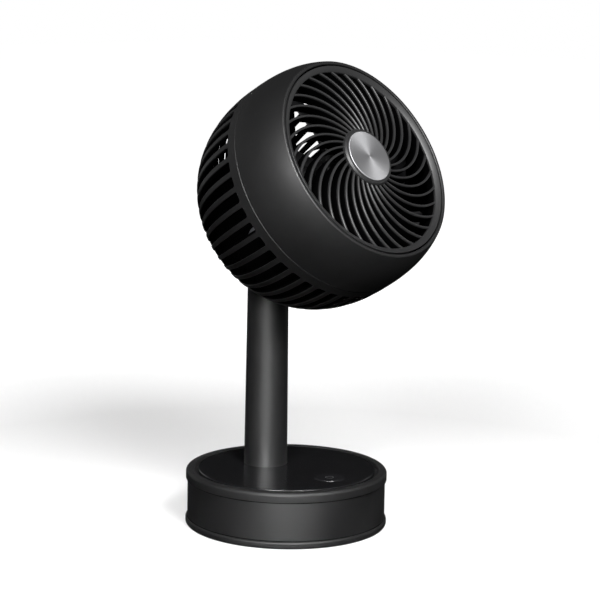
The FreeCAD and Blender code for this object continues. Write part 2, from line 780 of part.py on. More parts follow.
def cage_slot():
    """One slot's tool: a narrow sector with rounded front corners."""
    reach = GLOBE_RADIUS + OVERRUN
    back = -globe_back - OVERRUN
    width = SLOT_WIDTH_SHARE * 360 / SLOT_COUNT
    corners = [
        V(rear_disc_radius, 0, back),
        V(reach, 0, back),
        V(reach, 0, slot_front),
        V(rear_disc_radius, 0, slot_front),
    ]
    face = Part.Face(Part.makePolygon(corners + corners[:1]))
    sector = face.revolve(V(0, 0, 0), V(0, 0, 1), width)
    radial = []
    for edge in sector.Edges:
        level = [vertex.Z for vertex in edge.Vertexes]
        if isinstance(edge.Curve, Part.Line) and min(level) > slot_front - SEAT_GAP:
            radial.append(edge)
    narrow = rear_disc_radius * math.radians(width)
    return sector.makeFillet(min(SLOT_CORNER, SLOT_CORNER_LIMIT_SHARE * narrow), radial)


def gate_cheeks(near):
    """Walls on both sides of the stem's gate that keep fingers from the wheel."""
    skin = globe_curve(0, math.pi / 2, False, GLOBE_WALL / 2)
    start = edge_end(skin, False)
    pole = edge_end(skin, True)
    room = turned_edges([skin] + outline(pole, (0, 0), start))
    front = motor_back + CHEEK_LAP
    shoulder = -BRACKET_DISC_RADIUS - CHEEK_LAP
    top = -CHEEK_TOP_SHARE * PIVOT_BELOW
    back = -globe_back
    corners = [
        V(near, -GLOBE_RADIUS, front),
        V(near, shoulder, front),
        V(near, top, yoke_back - CHEEK_SETBACK),
        V(near, top, back),
        V(near, -GLOBE_RADIUS, back),
    ]
    plate = Part.Face(Part.makePolygon(corners + corners[:1])).extrude(V(CHEEK_THICKNESS, 0, 0))
    right = plate.common(room)
    return [right, right.mirror(V(0, 0, 0), V(1, 0, 0))]


def rear_cage():
    """Rear shell of the globe with long slots and a walled gate for the stem."""
    skin = globe_curve(0, math.pi / 2, False)
    ledge_back = ledge_front - CAGE_LEDGE_THICKNESS
    ledge_angle = globe_angle(ledge_back, False, GLOBE_WALL)
    lining = globe_curve(ledge_angle, math.pi / 2, False, GLOBE_WALL)
    ledge_bore = cage_bore - CAGE_LEDGE_DEPTH
    seam_radius = edge_end(globe_curve(globe_angle(SEAM_AHEAD, True, 0), 1, True), False)[0]
    straight = outline(
        edge_end(lining, False),
        (ledge_bore, ledge_back),
        (ledge_bore, ledge_front),
        (cage_bore, ledge_front),
        (cage_bore, SEAM_AHEAD),
        (seam_radius, SEAM_AHEAD),
        edge_end(skin, False),
    )
    pole = outline(edge_end(skin, True), edge_end(lining, True))
    shell = turned_edges([skin, lining] + straight + pole)
    shell = shell.makeChamfer(SEAM_EDGE, rim_edges(shell, seam_radius, SEAM_AHEAD))
    gate = STEM_TOP_RADIUS + GATE_GAP
    frame = stem_gate(gate + GATE_RIM)
    first = -90 + (1 - SLOT_WIDTH_SHARE) * 180 / SLOT_COUNT
    slots = [slot.cut(frame) for slot in around(cage_slot(), SLOT_COUNT, first)]
    hole = drum(SCREW_RADIUS + SCREW_GAP, ledge_back - OVERRUN, SEAM_AHEAD, head_screw_circle)
    holes = around(hole, HEAD_SCREW_COUNT, HEAD_SCREW_FIRST_ANGLE)
    cage = shell.cut(slots + [stem_gate(gate)] + holes)
    return cage.fuse(gate_cheeks(gate + CHEEK_GAP))


def vane_plan():
    """Plan of one vane: a strip along a spiral from the hub to the ring, as a face."""
    start = HUB_RADIUS - HUB_WALL / 2
    end = ring_bore + RING_SKIRT / 2
    rate = math.radians(VANE_SWEEP) / (end - start)
    sides = {-1: [], 1: []}
    for share in (0, 0.5, 1):
        radius = start + share * (end - start)
        angle = rate * (radius - start)
        heading = angle + math.atan(rate * radius)
        for side, points in sides.items():
            x = radius * math.cos(angle) - side * VANE_THICKNESS / 2 * math.sin(heading)
            y = radius * math.sin(angle) + side * VANE_THICKNESS / 2 * math.cos(heading)
            points.append(V(x, y, vane_back))
    left = Part.Arc(*sides[1]).toShape()
    right = Part.Arc(*sides[-1]).toShape()
    inner = Part.makeLine(sides[-1][0], sides[1][0])
    outer = Part.makeLine(sides[-1][2], sides[1][2])
    return Part.Face(Part.Wire(Part.__sortEdges__([left, outer, right, inner])))


def vane_room():
    """Space that the vanes fill: its front falls from the hub to the ring."""
    start = HUB_RADIUS - HUB_WALL
    end = ring_bore + RING_SKIRT
    front = lip_ahead - RING_SETBACK - RING_FALL
    return turned([(start, vane_back), (end, vane_back), (end, front), (start, lip_ahead + VANE_RISE)])


def front_grille():
    """Swirl grille: ring, spiral vanes and a cup-shaped hub in one moulding."""
    front = lip_ahead - RING_SETBACK
    ring = turned([
        (ring_bore, vane_back),
        (ring_bore + RING_SKIRT, vane_back),
        (ring_bore + RING_SKIRT, grille_seat),
        (ring_radius, grille_seat),
        (ring_radius, front),
        (ring_bore, front - RING_FALL),
    ])
    recess = hub_front - CAP_SINK
    hub_bore = HUB_RADIUS - HUB_WALL
    hub = turned([
        (0, recess - HUB_WALL),
        (hub_bore, recess - HUB_WALL),
        (hub_bore, vane_back),
        (HUB_RADIUS, vane_back),
        (HUB_RADIUS, hub_front),
        (CAP_RADIUS + SEAT_GAP, hub_front),
        (CAP_RADIUS + SEAT_GAP, recess),
        (0, recess),
    ])
    hub = rounded(hub, HUB_EDGE, HUB_RADIUS, hub_front)
    vane = vane_plan().extrude(V(0, 0, hub_front - vane_back)).common(vane_room())
    return merged([ring, hub] + around(vane, VANE_COUNT))


def hub_cap():
    """Spun metal disc in the hub's recess."""
    bottom = hub_front - CAP_SINK
    cap = drum(CAP_RADIUS, bottom, bottom + CAP_THICKNESS)
    return cap.makeFillet(CAP_EDGE, rim_edges(cap, CAP_RADIUS, bottom + CAP_THICKNESS))


def blade_section(x, chord, pitch):
    """Thin cambered section of a blade in the plane at a distance from the axis."""
    angle = math.radians(pitch)
    middle = impeller_back + BLADE_FROM_REAR
    along = V(0, math.cos(angle), math.sin(angle))
    across = V(0, -math.sin(angle), math.cos(angle))
    centre = V(x, 0, middle)
    lead = centre - along * (chord / 2)
    trail = centre + along * (chord / 2)
    edge = across * (BLADE_EDGE / 2)
    crown = centre + across * (BLADE_CAMBER + BLADE_THICKNESS / 2)
    hollow = centre + across * (BLADE_CAMBER - BLADE_THICKNESS / 2)
    upper = Part.Arc(lead + edge, crown, trail + edge).toShape()
    lower = Part.Arc(trail - edge, hollow, lead - edge).toShape()
    back = Part.makeLine(trail + edge, trail - edge)
    front = Part.makeLine(lead - edge, lead + edge)
    return Part.Wire([upper, back, lower, front])


def impeller():
    """Axial wheel: cup-shaped hub with twisted blades."""
    bore = IMPELLER_HUB_RADIUS - IMPELLER_HUB_WALL
    shoulder = impeller_front - IMPELLER_NOSE
    hub = turned([
        (SHAFT_RADIUS, impeller_back + IMPELLER_WEB),
        (IMPELLER_BOSS_RADIUS, impeller_back + IMPELLER_WEB),
        (IMPELLER_BOSS_RADIUS, shoulder - IMPELLER_WEB),
        (bore, shoulder - IMPELLER_WEB),
        (bore, impeller_back),
        (IMPELLER_HUB_RADIUS, impeller_back),
        (IMPELLER_HUB_RADIUS, shoulder),
        (IMPELLER_BOSS_RADIUS + IMPELLER_NOSE, impeller_front),
        (SHAFT_RADIUS, impeller_front),
    ])
    root = blade_section(bore + SEAT_GAP, ROOT_CHORD, ROOT_PITCH)
    tip = blade_section(impeller_radius, TIP_CHORD, TIP_PITCH)
    blade = Part.makeLoft([root, tip], True, True)
    blade = blade.common(drum(impeller_radius, -globe_back, globe_front))
    return merged([hub] + around(blade, BLADE_COUNT))


def motor_shaft():
    """Shaft through the motor that carries the impeller."""
    return drum(SHAFT_RADIUS, motor_back - SHAFT_TAIL, impeller_front + SHAFT_NOSE)


def impeller_nut():
    """Nut that holds the impeller on the shaft."""
    nut = drum(SHAFT_NUT_RADIUS, impeller_front, impeller_front + SHAFT_NUT_HEIGHT)
    return nut.cut(drum(SHAFT_RADIUS, impeller_front, impeller_front + SHAFT_NUT_HEIGHT))


def motor_can():
    """Closed motor body with a seat for a bush at each end."""
    can = drum(MOTOR_RADIUS, motor_back, motor_front)
    can = rounded(can, MOTOR_EDGE, MOTOR_RADIUS, motor_front)
    holes = [
        drum(SHAFT_RADIUS + MOTOR_BORE_GAP, motor_back, motor_front),
        drum(bush_radius, motor_front - BUSH_LENGTH, motor_front),
        drum(bush_radius, motor_back, motor_back + BUSH_LENGTH),
    ]
    pilot = drum(SCREW_RADIUS, motor_back, motor_back + SCREW_BITE, motor_screw_circle)
    return can.cut(holes + around(pilot, 4))


def motor_bushes():
    """Two plain bearings for the shaft."""
    bushes = []
    for bottom in (motor_front - BUSH_LENGTH, motor_back):
        bush = drum(bush_radius, bottom, bottom + BUSH_LENGTH)
        bushes.append(bush.cut(drum(SHAFT_RADIUS + RUN_GAP, bottom, bottom + BUSH_LENGTH)))
    return Part.makeCompound(bushes)


def motor_bracket():
    """Spider between the seam and the motor: ring, sloping arms and a centre disc."""
    ring = drum(bracket_ring_radius, ledge_front, SEAM_AHEAD)
    ring = ring.cut(drum(bracket_ring_bore, ledge_front, SEAM_AHEAD))
    disc = drum(BRACKET_DISC_RADIUS, bracket_back, motor_back)
    reach = bracket_ring_bore + RING_SKIRT
    start = BRACKET_DISC_RADIUS - BRACKET_ARM_HEIGHT
    corners = [
        V(start, -BRACKET_ARM_WIDTH / 2, bracket_back),
        V(reach, -BRACKET_ARM_WIDTH / 2, SEAM_AHEAD - BRACKET_ARM_HEIGHT),
        V(reach, -BRACKET_ARM_WIDTH / 2, SEAM_AHEAD),
        V(BRACKET_DISC_RADIUS, -BRACKET_ARM_WIDTH / 2, motor_back),
        V(start, -BRACKET_ARM_WIDTH / 2, motor_back),
    ]
    arm = Part.Face(Part.makePolygon(corners + corners[:1])).extrude(V(0, BRACKET_ARM_WIDTH, 0))
    spider = merged([ring, disc] + around(arm, BRACKET_ARM_COUNT))
    holes = [drum(bush_radius + SEAT_GAP, bracket_back, motor_back)]
    clear = SCREW_RADIUS + SCREW_GAP
    holes += around(drum(clear, bracket_back, motor_back, motor_screw_circle), 4)
    rim_hole = drum(clear, ledge_front, SEAM_AHEAD, head_screw_circle)
    holes += around(rim_hole, HEAD_SCREW_COUNT, HEAD_SCREW_FIRST_ANGLE)
    return spider.cut(holes)


def head_screws():
    """Screws through the cage's ledge and the bracket into the shroud."""
    seat = ledge_front - CAGE_LEDGE_THICKNESS
    tip = SEAM_AHEAD + SHROUD_FLANGE + SCREW_BITE
    one = screw(head_screw_circle, 0, seat, tip)
    return Part.makeCompound(around(one, HEAD_SCREW_COUNT, HEAD_SCREW_FIRST_ANGLE))


def motor_screws():
    """Long screws through the yoke and the bracket into the motor."""
    one = screw(motor_screw_circle, 0, yoke_back, motor_back + SCREW_BITE)
    return Part.makeCompound(around(one, 4))


def tilt_yoke():
    """Round plate behind the motor with two ears that reach back to the tilt axis."""
    pivot = pivot_point()
    plate = drum(YOKE_BASE_RADIUS, yoke_back, bracket_back)
    clear = SCREW_RADIUS + SCREW_GAP
    plate = plate.cut(around(drum(clear, yoke_back, bracket_back, motor_screw_circle), 4))
    ears = []
    for left in (-ear_outside, ear_inside):
        corners = [
            V(left, EAR_ROOT_UP, yoke_back),
            V(left, -EAR_ROOT_DOWN, yoke_back),
            V(left, pivot.y - EAR_RADIUS, pivot.z),
            V(left, pivot.y + EAR_RADIUS, pivot.z),
        ]
        arm = Part.Face(Part.makePolygon(corners + corners[:1])).extrude(V(EAR_THICKNESS, 0, 0))
        eye = cross_drum(EAR_RADIUS, left, left + EAR_THICKNESS, pivot.y, pivot.z)
        bore = cross_drum(PIN_RADIUS, left, left + EAR_THICKNESS, pivot.y, pivot.z)
        ears.append(merged([arm, eye]).cut(bore))
    return merged([plate] + ears)


def hinge_pin():
    """Headed pin through both ears and the stem's tongue."""
    pivot = pivot_point()
    shank = cross_drum(PIN_RADIUS, -ear_outside - NUT_HEIGHT, ear_outside, pivot.y, pivot.z)
    head = cross_drum(PIN_HEAD_RADIUS, ear_outside, ear_outside + PIN_HEAD_HEIGHT, pivot.y, pivot.z)
    return merged([shank, head])


def hinge_nut():
    """Nut on the hinge pin's plain end."""
    pivot = pivot_point()
    left = -ear_outside - NUT_HEIGHT
    corners = []
    for index in range(6):
        angle = math.radians(60 * index)
        corner = V(0, NUT_RADIUS * math.cos(angle), NUT_RADIUS * math.sin(angle))
        corners.append(V(left, pivot.y, pivot.z) + corner)
    body = Part.Face(Part.makePolygon(corners + corners[:1])).extrude(V(NUT_HEIGHT, 0, 0))
    return body.cut(cross_drum(PIN_RADIUS, left, -ear_outside, pivot.y, pivot.z))


def head_placement():
    """Where the head's own coordinates lie on the fan: its tilt axis on the stem's."""
    turn = FreeCAD.Rotation(V(1, 0, 0), 90 - HEAD_PITCH)
    hinge = V(0, stem_y, pivot_level)
    return FreeCAD.Placement(hinge - turn.multVec(pivot_point()), turn)


BASE_PIECES = [
    rubber_pad,
    bottom_cover,
    base_screws,
    base_wall,
    upper_housing,
    top_plate,
    ballast_plate,
    battery_tray,
    battery_cells,
    battery_contacts,
    control_board,
    board_screws,
    tact_switch,
    power_button,
    charge_board,
    charge_screws,
    charging_port,
    stem_socket,
    socket_screws,
    stem_tube,
    stem_knuckle,
    friction_washers,
]

HEAD_PIECES = [
    front_shroud,
    rear_cage,
    front_grille,
    hub_cap,
    impeller,
    motor_shaft,
    impeller_nut,
    motor_can,
    motor_bushes,
    motor_bracket,
    head_screws,
    motor_screws,
    tilt_yoke,
    hinge_pin,
    hinge_nut,
]


def main():
    """Build every piece and write it to the parts folder."""
    os.makedirs("parts", exist_ok=True)
    for piece in BASE_PIECES:
        save(piece.__name__, piece())
    matrix = head_placement().toMatrix()
    for piece in HEAD_PIECES:
        save(piece.__name__, piece().transformed(matrix, True))


main()
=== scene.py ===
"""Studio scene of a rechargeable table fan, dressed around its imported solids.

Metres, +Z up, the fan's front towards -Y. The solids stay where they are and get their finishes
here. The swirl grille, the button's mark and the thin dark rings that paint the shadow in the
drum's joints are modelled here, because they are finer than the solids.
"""

import json
import logging
import math
from dataclasses import dataclass
from enum import Enum

import bmesh
import bpy
from mathutils import Matrix, Vector


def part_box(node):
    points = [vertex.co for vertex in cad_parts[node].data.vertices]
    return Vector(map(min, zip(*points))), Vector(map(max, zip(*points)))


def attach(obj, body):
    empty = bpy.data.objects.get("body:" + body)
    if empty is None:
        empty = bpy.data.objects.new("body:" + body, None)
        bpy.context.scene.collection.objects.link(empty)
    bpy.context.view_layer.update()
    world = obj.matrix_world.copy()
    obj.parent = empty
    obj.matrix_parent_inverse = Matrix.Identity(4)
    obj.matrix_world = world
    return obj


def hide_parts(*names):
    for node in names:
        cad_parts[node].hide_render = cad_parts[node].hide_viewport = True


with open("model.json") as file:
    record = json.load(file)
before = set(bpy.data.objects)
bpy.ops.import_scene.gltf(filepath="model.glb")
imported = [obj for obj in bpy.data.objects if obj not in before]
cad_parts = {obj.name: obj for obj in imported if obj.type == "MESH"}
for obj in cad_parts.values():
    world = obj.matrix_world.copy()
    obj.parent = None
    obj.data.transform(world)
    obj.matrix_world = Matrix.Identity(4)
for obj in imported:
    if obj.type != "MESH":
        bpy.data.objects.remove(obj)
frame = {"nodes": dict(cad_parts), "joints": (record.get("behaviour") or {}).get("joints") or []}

LOG = logging.getLogger("table_fan")
MM = 0.001
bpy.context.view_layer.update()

NOISE_LOW, NOISE_HIGH = 0.3, 0.7
SQUARE_ROOT = 0.5
BEVEL_SAMPLES = 4
ROUND_SEGMENTS = 4
ROUND_PROFILE = 0.5
MERGE_DISTANCE = 1e-4

Colour = tuple[float, float, float]
Socket = bpy.types.NodeSocket
Outline = list[tuple[float, float]]


class Grain(Enum):
    """Tool grain that a moulding carries, as grains per metre and bump height in metres."""

    POLISHED = (900.0, 0.000002)
    SATIN = (1900.0, 0.000012)
    MATT = (1300.0, 0.00003)


class Lay(Enum):
    """Direction in which a metal surface was worked."""

    DRAWN = "drawn"
    CAST = "cast"


def scaled(colour: Colour, factor: float) -> Colour:
    """Return a colour made lighter or darker by a factor."""
    return tuple(factor * part for part in colour)


class NodeBench:
    """Adds and joins the shader nodes of one material."""

    def __init__(self, name: str) -> None:
        """Start a material with a Principled shader on its output.

        Args:
            name: Name of the new material.
        """
        self.material = bpy.data.materials.new(name)
        self.material.use_nodes = True
        self.tree = self.material.node_tree
        self.tree.nodes.clear()
        self.shader = self.add("ShaderNodeBsdfPrincipled")
        output = self.add("ShaderNodeOutputMaterial")
        self.join(self.shader.outputs["BSDF"], output.inputs["Surface"])
        self.point = self.add("ShaderNodeTexCoord").outputs["Object"]

    def add(self, kind: str, **values: object) -> bpy.types.Node:
        """Add a node and set its inputs.

        Args:
            kind: Blender's identifier of the node.
            values: Input values by socket name, with underscores for spaces.

        Returns:
            The new node.
        """
        node = self.tree.nodes.new(kind)
        for key, value in values.items():
            node.inputs[key.replace("_", " ")].default_value = value
        return node

    def join(self, source: Socket, target: Socket) -> None:
        """Link an output to an input."""
        self.tree.links.new(source, target)

    def feed(self, value: Socket, socket: str) -> None:
        """Link a value to one of the shader's sockets."""
        self.join(value, self.shader.inputs[socket])

    def set(self, **values: object) -> None:
        """Set constants on the Principled shader."""
        for key, value in values.items():
            self.shader.inputs[key.replace("_", " ")].default_value = value

    def noise(self, cells: float, detail: float = 2.0, stretch: Vector | None = None) -> Socket:
        """Make noise on the piece's own coordinates.

        Args:
            cells: Cells per metre.
            detail: Octaves of finer noise.
            stretch: Scale of each axis, where the noise runs along one of them.

        Returns:
            The noise's value, from 0 to 1.
        """
        node = self.add("ShaderNodeTexNoise", Scale=cells, Detail=detail)
        point = self.point
        if stretch is not None:
            mapping = self.add("ShaderNodeMapping", Scale=stretch)
            self.join(point, mapping.inputs["Vector"])
            point = mapping.outputs["Vector"]
        self.join(point, node.inputs["Vector"])
        return node.outputs["Fac"]

    def remap(self, value: Socket, **ends: float) -> Socket:
        """Map a value from one range to another, and hold it there.

        Args:
            value: Value to map.
            ends: From_Min, From_Max, To_Min and To_Max, which are 0 or 1 where not given.

        Returns:
            The mapped value.
        """
        node = self.add("ShaderNodeMapRange", **ends)
        self.join(value, node.inputs["Value"])
        return node.outputs["Result"]

    def spread(self, value: Socket, low: float, high: float) -> Socket:
        """Map the span in which a noise mostly lies to a range.

        Args:
            value: Noise value.
            low: Result at the bottom of that span.
            high: Result at its top.

        Returns:
            The mapped value.
        """
        return self.remap(
            value, From_Min=NOISE_LOW, From_Max=NOISE_HIGH, To_Min=low, To_Max=high
        )

    def tint(self, value: Socket, first: Colour, second: Colour) -> None:
        """Colour the shader between two colours.

        Args:
            value: Share of the second colour, from 0 to 1.
            first: Colour at 0.
            second: Colour at 1.
        """
        node = self.tree.nodes.new("ShaderNodeMix")
        node.data_type = "RGBA"
        ends = {"A": first, "B": second}
        for socket in node.inputs:
            if socket.type == "RGBA" and socket.name in ends:
                socket.default_value = (*ends[socket.name], 1.0)
        self.join(value, node.inputs["Factor"])
        self.feed(next(socket for socket in node.outputs if socket.type == "RGBA"), "Base Color")

    def number(self, operation: str, first: Socket, second: Socket | float) -> Socket:
        """Work out one operation on two numbers.

        Args:
            operation: Blender's name of the operation.
            first: First number.
            second: Second number, as a socket or a constant.

        Returns:
            The result.
        """
        node = self.tree.nodes.new("ShaderNodeMath")
        node.operation = operation
        self.join(first, node.inputs[0])
        if isinstance(second, float):
            node.inputs[1].default_value = second
        else:
            self.join(second, node.inputs[1])
        return node.outputs[0]

    def vector(self, operation: str, first: Socket, second: Vector | Socket) -> bpy.types.Node:
        """Work out one operation on two vectors.

        Args:
            operation: Blender's name of the operation.
            first: First vector.
            second: Second vector, as a socket or a constant.

        Returns:
            The node, whose outputs are Vector and Value.
        """
        node = self.tree.nodes.new("ShaderNodeVectorMath")
        node.operation = operation
        self.join(first, node.inputs[0])
        if isinstance(second, Vector):
            node.inputs[1].default_value = second
        else:
            self.join(second, node.inputs[1])
        return node

    def raise_by(self, height: Socket, distance: float, soften: float = 0.0) -> None:
        """Give the shader a bump over edges that are optically rounded.

        Args:
            height: Height of the relief, from 0 to 1.
            distance: Depth of the relief in metres.
            soften: Radius of the rounded edges in metres, or zero for none.
        """
        bump = self.add("ShaderNodeBump", Strength=1.0, Distance=distance)
        self.join(height, bump.inputs["Height"])
        if soften > 0:
            bevel = self.add("ShaderNodeBevel", Radius=soften)
            bevel.samples = BEVEL_SAMPLES
            self.join(bevel.outputs["Normal"], bump.inputs["Normal"])
        self.feed(bump.outputs["Normal"], "Normal")


@dataclass(frozen=True)
class MouldedPlastic:
    """Injection-moulded plastic with a tool grain and a faint unevenness of gloss."""

    name: str
    colour: Colour
    roughness: float
    grain: Grain = Grain.SATIN
    soften: float = 0.0
    uneven: float = 0.05
    specular: float = 0.5
    lift: float = 1.35
    flow_cells: float = 28.0
    flow_detail: float = 3.0

    def material(self) -> bpy.types.Material:
        """Make the finish.

        Returns:
            The node material.
        """
        bench = NodeBench(self.name)
        cells, depth = self.grain.value
        self.shade(bench, bench.noise(self.flow_cells, self.flow_detail))
        bench.set(Specular_IOR_Level=self.specular)
        bench.raise_by(bench.noise(cells), depth, self.soften)
        return bench.material

    def shade(self, bench: NodeBench, flow: Socket) -> None:
        """Set the colour and gloss, which vary a little with the flow of the plastic.

        Args:
            bench: Bench of the material.
            flow: Noise that stands for the flow.
        """
        bench.tint(flow, self.colour, scaled(self.colour, self.lift))
        low, high = self.roughness - self.uneven, self.roughness + self.uneven
        bench.feed(bench.spread(flow, low, high), "Roughness")


@dataclass(frozen=True)
class HeadMoulding(MouldedPlastic):
    """Moulding of the head: satin on the skin that faces out; painted shade, darker and matt,
    behind it.
    """

    lift: float = 1.3
    centre: Vector = Vector((0.0, 0.0, 0.0))
    axis: Vector = Vector((0.0, 0.0, 1.0))
    # painted shade: the near-black colour of the walls behind the skin, where shade falls
    inside: Colour = (0.0006, 0.0006, 0.00065)
    inside_roughness: float = 0.88
    flow_low: float = 0.75

    def polar(self, bench: NodeBench) -> tuple[Socket, Socket]:
        """Work out where a point lies about the head's axis.

        Args:
            bench: Bench of the material.

        Returns:
            The radius about the axis and the station along it, in metres.
        """
        arm = bench.vector("SUBTRACT", bench.point, self.centre).outputs["Vector"]
        along = bench.vector("DOT_PRODUCT", arm, self.axis).outputs["Value"]
        square = bench.vector("DOT_PRODUCT", arm, arm).outputs["Value"]
        across = bench.number("SUBTRACT", square, bench.number("MULTIPLY", along, along))
        radius = bench.number("POWER", bench.number("MAXIMUM", across, 0.0), SQUARE_ROOT)
        return radius, along

    def skin(self, bench: NodeBench) -> Socket:
        """Return 1 on the skin and 0 on the walls behind it."""
        raise NotImplementedError

    def shade(self, bench: NodeBench, flow: Socket) -> None:
        """Set the colour and gloss of the skin, and paint shade on the walls behind it.

        Args:
            bench: Bench of the material.
            flow: Noise that stands for the flow of the plastic.
        """
        # Painted shade: walls of slots and flanks of vanes take a near-black colour, a matt finish
        # and no gloss
        gloss = bench.spread(flow, self.flow_low, 1.0)
        share = bench.number("MULTIPLY", self.skin(bench), gloss)
        bench.tint(share, self.inside, scaled(self.colour, self.lift))
        satin = self.roughness - self.uneven
        bench.feed(bench.remap(share, To_Min=self.inside_roughness, To_Max=satin), "Roughness")
        bench.feed(bench.number("MULTIPLY", share, self.specular), "Specular IOR Level")


@dataclass(frozen=True)
class GlobeShell(HeadMoulding):
    """Shell of the globe, whose skin is a squarish ellipsoid with its own front and back.

    Its sizes are in metres. The two levels are shares of the value on the ellipsoid itself.
    """

    radius: float = 0.0798
    front: float = 0.0765
    back: float = 0.0814
    front_power: float = 2.59
    back_power: float = 2.29
    lip: float = 0.043
    wall_level: float = 0.97
    skin_level: float = 0.99

    def skin(self, bench: NodeBench) -> Socket:
        """Find the globe's outer skin and its front lip.

        Args:
            bench: Bench of the material.

        Returns:
            1 on the skin and the lip, 0 on the walls inside.
        """
        width, along = self.polar(bench)
        ahead = bench.number("GREATER_THAN", along, 0.0)
        reach = bench.number("MULTIPLY", ahead, self.front - self.back)
        reach = bench.number("ADD", reach, self.back)
        power = bench.number("MULTIPLY", ahead, self.front_power - self.back_power)
        power = bench.number("ADD", power, self.back_power)
        depth = bench.number("POWER", bench.number("MULTIPLY", along, along), SQUARE_ROOT)
        depth = bench.number("POWER", bench.number("DIVIDE", depth, reach), power)
        level = bench.number("POWER", bench.number("DIVIDE", width, self.radius), power)
        level = bench.number("ADD", level, depth)
        outer = bench.remap(level, From_Min=self.wall_level, From_Max=self.skin_level)
        return bench.number("MAXIMUM", outer, bench.number("GREATER_THAN", along, self.lip))


@dataclass(frozen=True)
class GrilleFace(HeadMoulding):
    """Grille moulding, whose skin is the shallow cone along the front of its vanes.

    The cone's top on the axis and the skin's depth are in metres, the fall is a slope.
    """

    top: float = 0.0475
    fall: float = 0.0732
    depth: float = 0.0016

    def skin(self, bench: NodeBench) -> Socket:
        """Find the front of the vanes.

        Args:
            bench: Bench of the material.

        Returns:
            1 along the front of the vanes, 0 on their flanks.
        """
        width, along = self.polar(bench)
        level = bench.number("ADD", along, bench.number("MULTIPLY", width, self.fall))
        return bench.remap(
            level, From_Min=self.top - self.depth, From_Max=self.top - self.depth / 2
        )


@dataclass(frozen=True)
class LacqueredPanel:
    """Deep black panel under a clear glossy skin, with faint handling marks in its gloss."""

    name: str
    colour: Colour
    roughness: float
    soften: float = 0.0
    lift: float = 1.2
    smear_cells: float = 22.0
    smear_detail: float = 4.0
    smear_dulls: float = 0.06
    coat: float = 0.12
    coat_roughness: float = 0.08
    ripple: float = 0.000004
    ripple_cells: float = 60.0
    ripple_detail: float = 1.0

    def material(self) -> bpy.types.Material:
        """Make the finish.

        Returns:
            The node material.
        """
        bench = NodeBench(self.name)
        smear = bench.noise(self.smear_cells, self.smear_detail)
        bench.tint(smear, self.colour, scaled(self.colour, self.lift))
        dull = self.roughness + self.smear_dulls
        bench.feed(bench.spread(smear, self.roughness, dull), "Roughness")
        bench.set(Coat_Weight=self.coat, Coat_Roughness=self.coat_roughness)
        ripple = bench.noise(self.ripple_cells, self.ripple_detail)
        bench.raise_by(ripple, self.ripple, self.soften)
        return bench.material


@dataclass(frozen=True)
class WorkedMetal:
    """Plain metal with the marks of drawing or casting."""

    name: str
    colour: Colour
    roughness: float
    lay: Lay = Lay.DRAWN
    shade: float = 0.8
    draw: float = 0.06
    mark_cells: float = 900.0
    mark_detail: float = 3.0
    mark_depth: float = 0.000008
    brighter: float = 0.06
    duller: float = 0.08

    def material(self) -> bpy.types.Material:
        """Make the finish.

        Returns:
            The node material.
        """
        bench = NodeBench(self.name)
        stretch = Vector((1.0, 1.0, self.draw)) if self.lay is Lay.DRAWN else None
        marks = bench.noise(self.mark_cells, self.mark_detail, stretch)
        bench.tint(marks, scaled(self.colour, self.shade), self.colour)
        low, high = self.roughness - self.brighter, self.roughness + self.duller
        bench.feed(bench.spread(marks, low, high), "Roughness")
        bench.set(Metallic=1.0)
        bench.raise_by(marks, self.mark_depth)
        return bench.material


@dataclass(frozen=True)
class SpunMetal:
    """Metal disc turned on a lathe: fine rings stretch its highlights into a cross."""

    name: str
    colour: Colour
    roughness: float
    anisotropy: float
    centre: Vector
    axis: Vector
    shade: float = 0.72
    uneven: float = 0.05
    ring_cells: float = 5200.0
    ring_detail: float = 3.0
    ring_depth: float = 0.000003

    def material(self) -> bpy.types.Material:
        """Make the finish.

        Returns:
            The node material.
        """
        bench = NodeBench(self.name)
        arm = bench.vector("SUBTRACT", bench.point, self.centre).outputs["Vector"]
        bench.feed(bench.vector("CROSS_PRODUCT", arm, -self.axis).outputs["Vector"], "Tangent")
        reach = bench.vector("DISTANCE", bench.point, self.centre).outputs["Value"]
        node = bench.add("ShaderNodeTexNoise", Scale=self.ring_cells, Detail=self.ring_detail)
        node.noise_dimensions = "1D"
        bench.join(reach, node.inputs["W"])
        rings = node.outputs["Fac"]
        bench.tint(rings, scaled(self.colour, self.shade), self.colour)
        low, high = self.roughness - self.uneven, self.roughness + self.uneven
        bench.feed(bench.spread(rings, low, high), "Roughness")
        bench.set(Metallic=1.0, Anisotropic=self.anisotropy)
        bench.raise_by(rings, self.ring_depth)
        return bench.material


@dataclass(frozen=True)
class CircuitLaminate:
    """Green solder mask over woven laminate, lighter over the copper fields under it."""

    name: str
    mask: Colour
    copper: Colour
    roughness: float = 0.35
    field_cells: float = 140.0
    weave_cells: float = 2600.0
    weave_detail: float = 1.0
    weave_depth: float = 0.00001

    def material(self) -> bpy.types.Material:
        """Make the finish.

        Returns:
            The node material.
        """
        bench = NodeBench(self.name)
        mask, copper = (*self.mask, 1.0), (*self.copper, 1.0)
        fields = bench.add(
            "ShaderNodeTexBrick", Scale=self.field_cells, Color1=mask, Color2=copper, Mortar=mask
        )
        bench.join(bench.point, fields.inputs["Vector"])
        bench.feed(fields.outputs["Color"], "Base Color")
        bench.set(Roughness=self.roughness)
        bench.raise_by(bench.noise(self.weave_cells, self.weave_detail), self.weave_depth)
        return bench.material


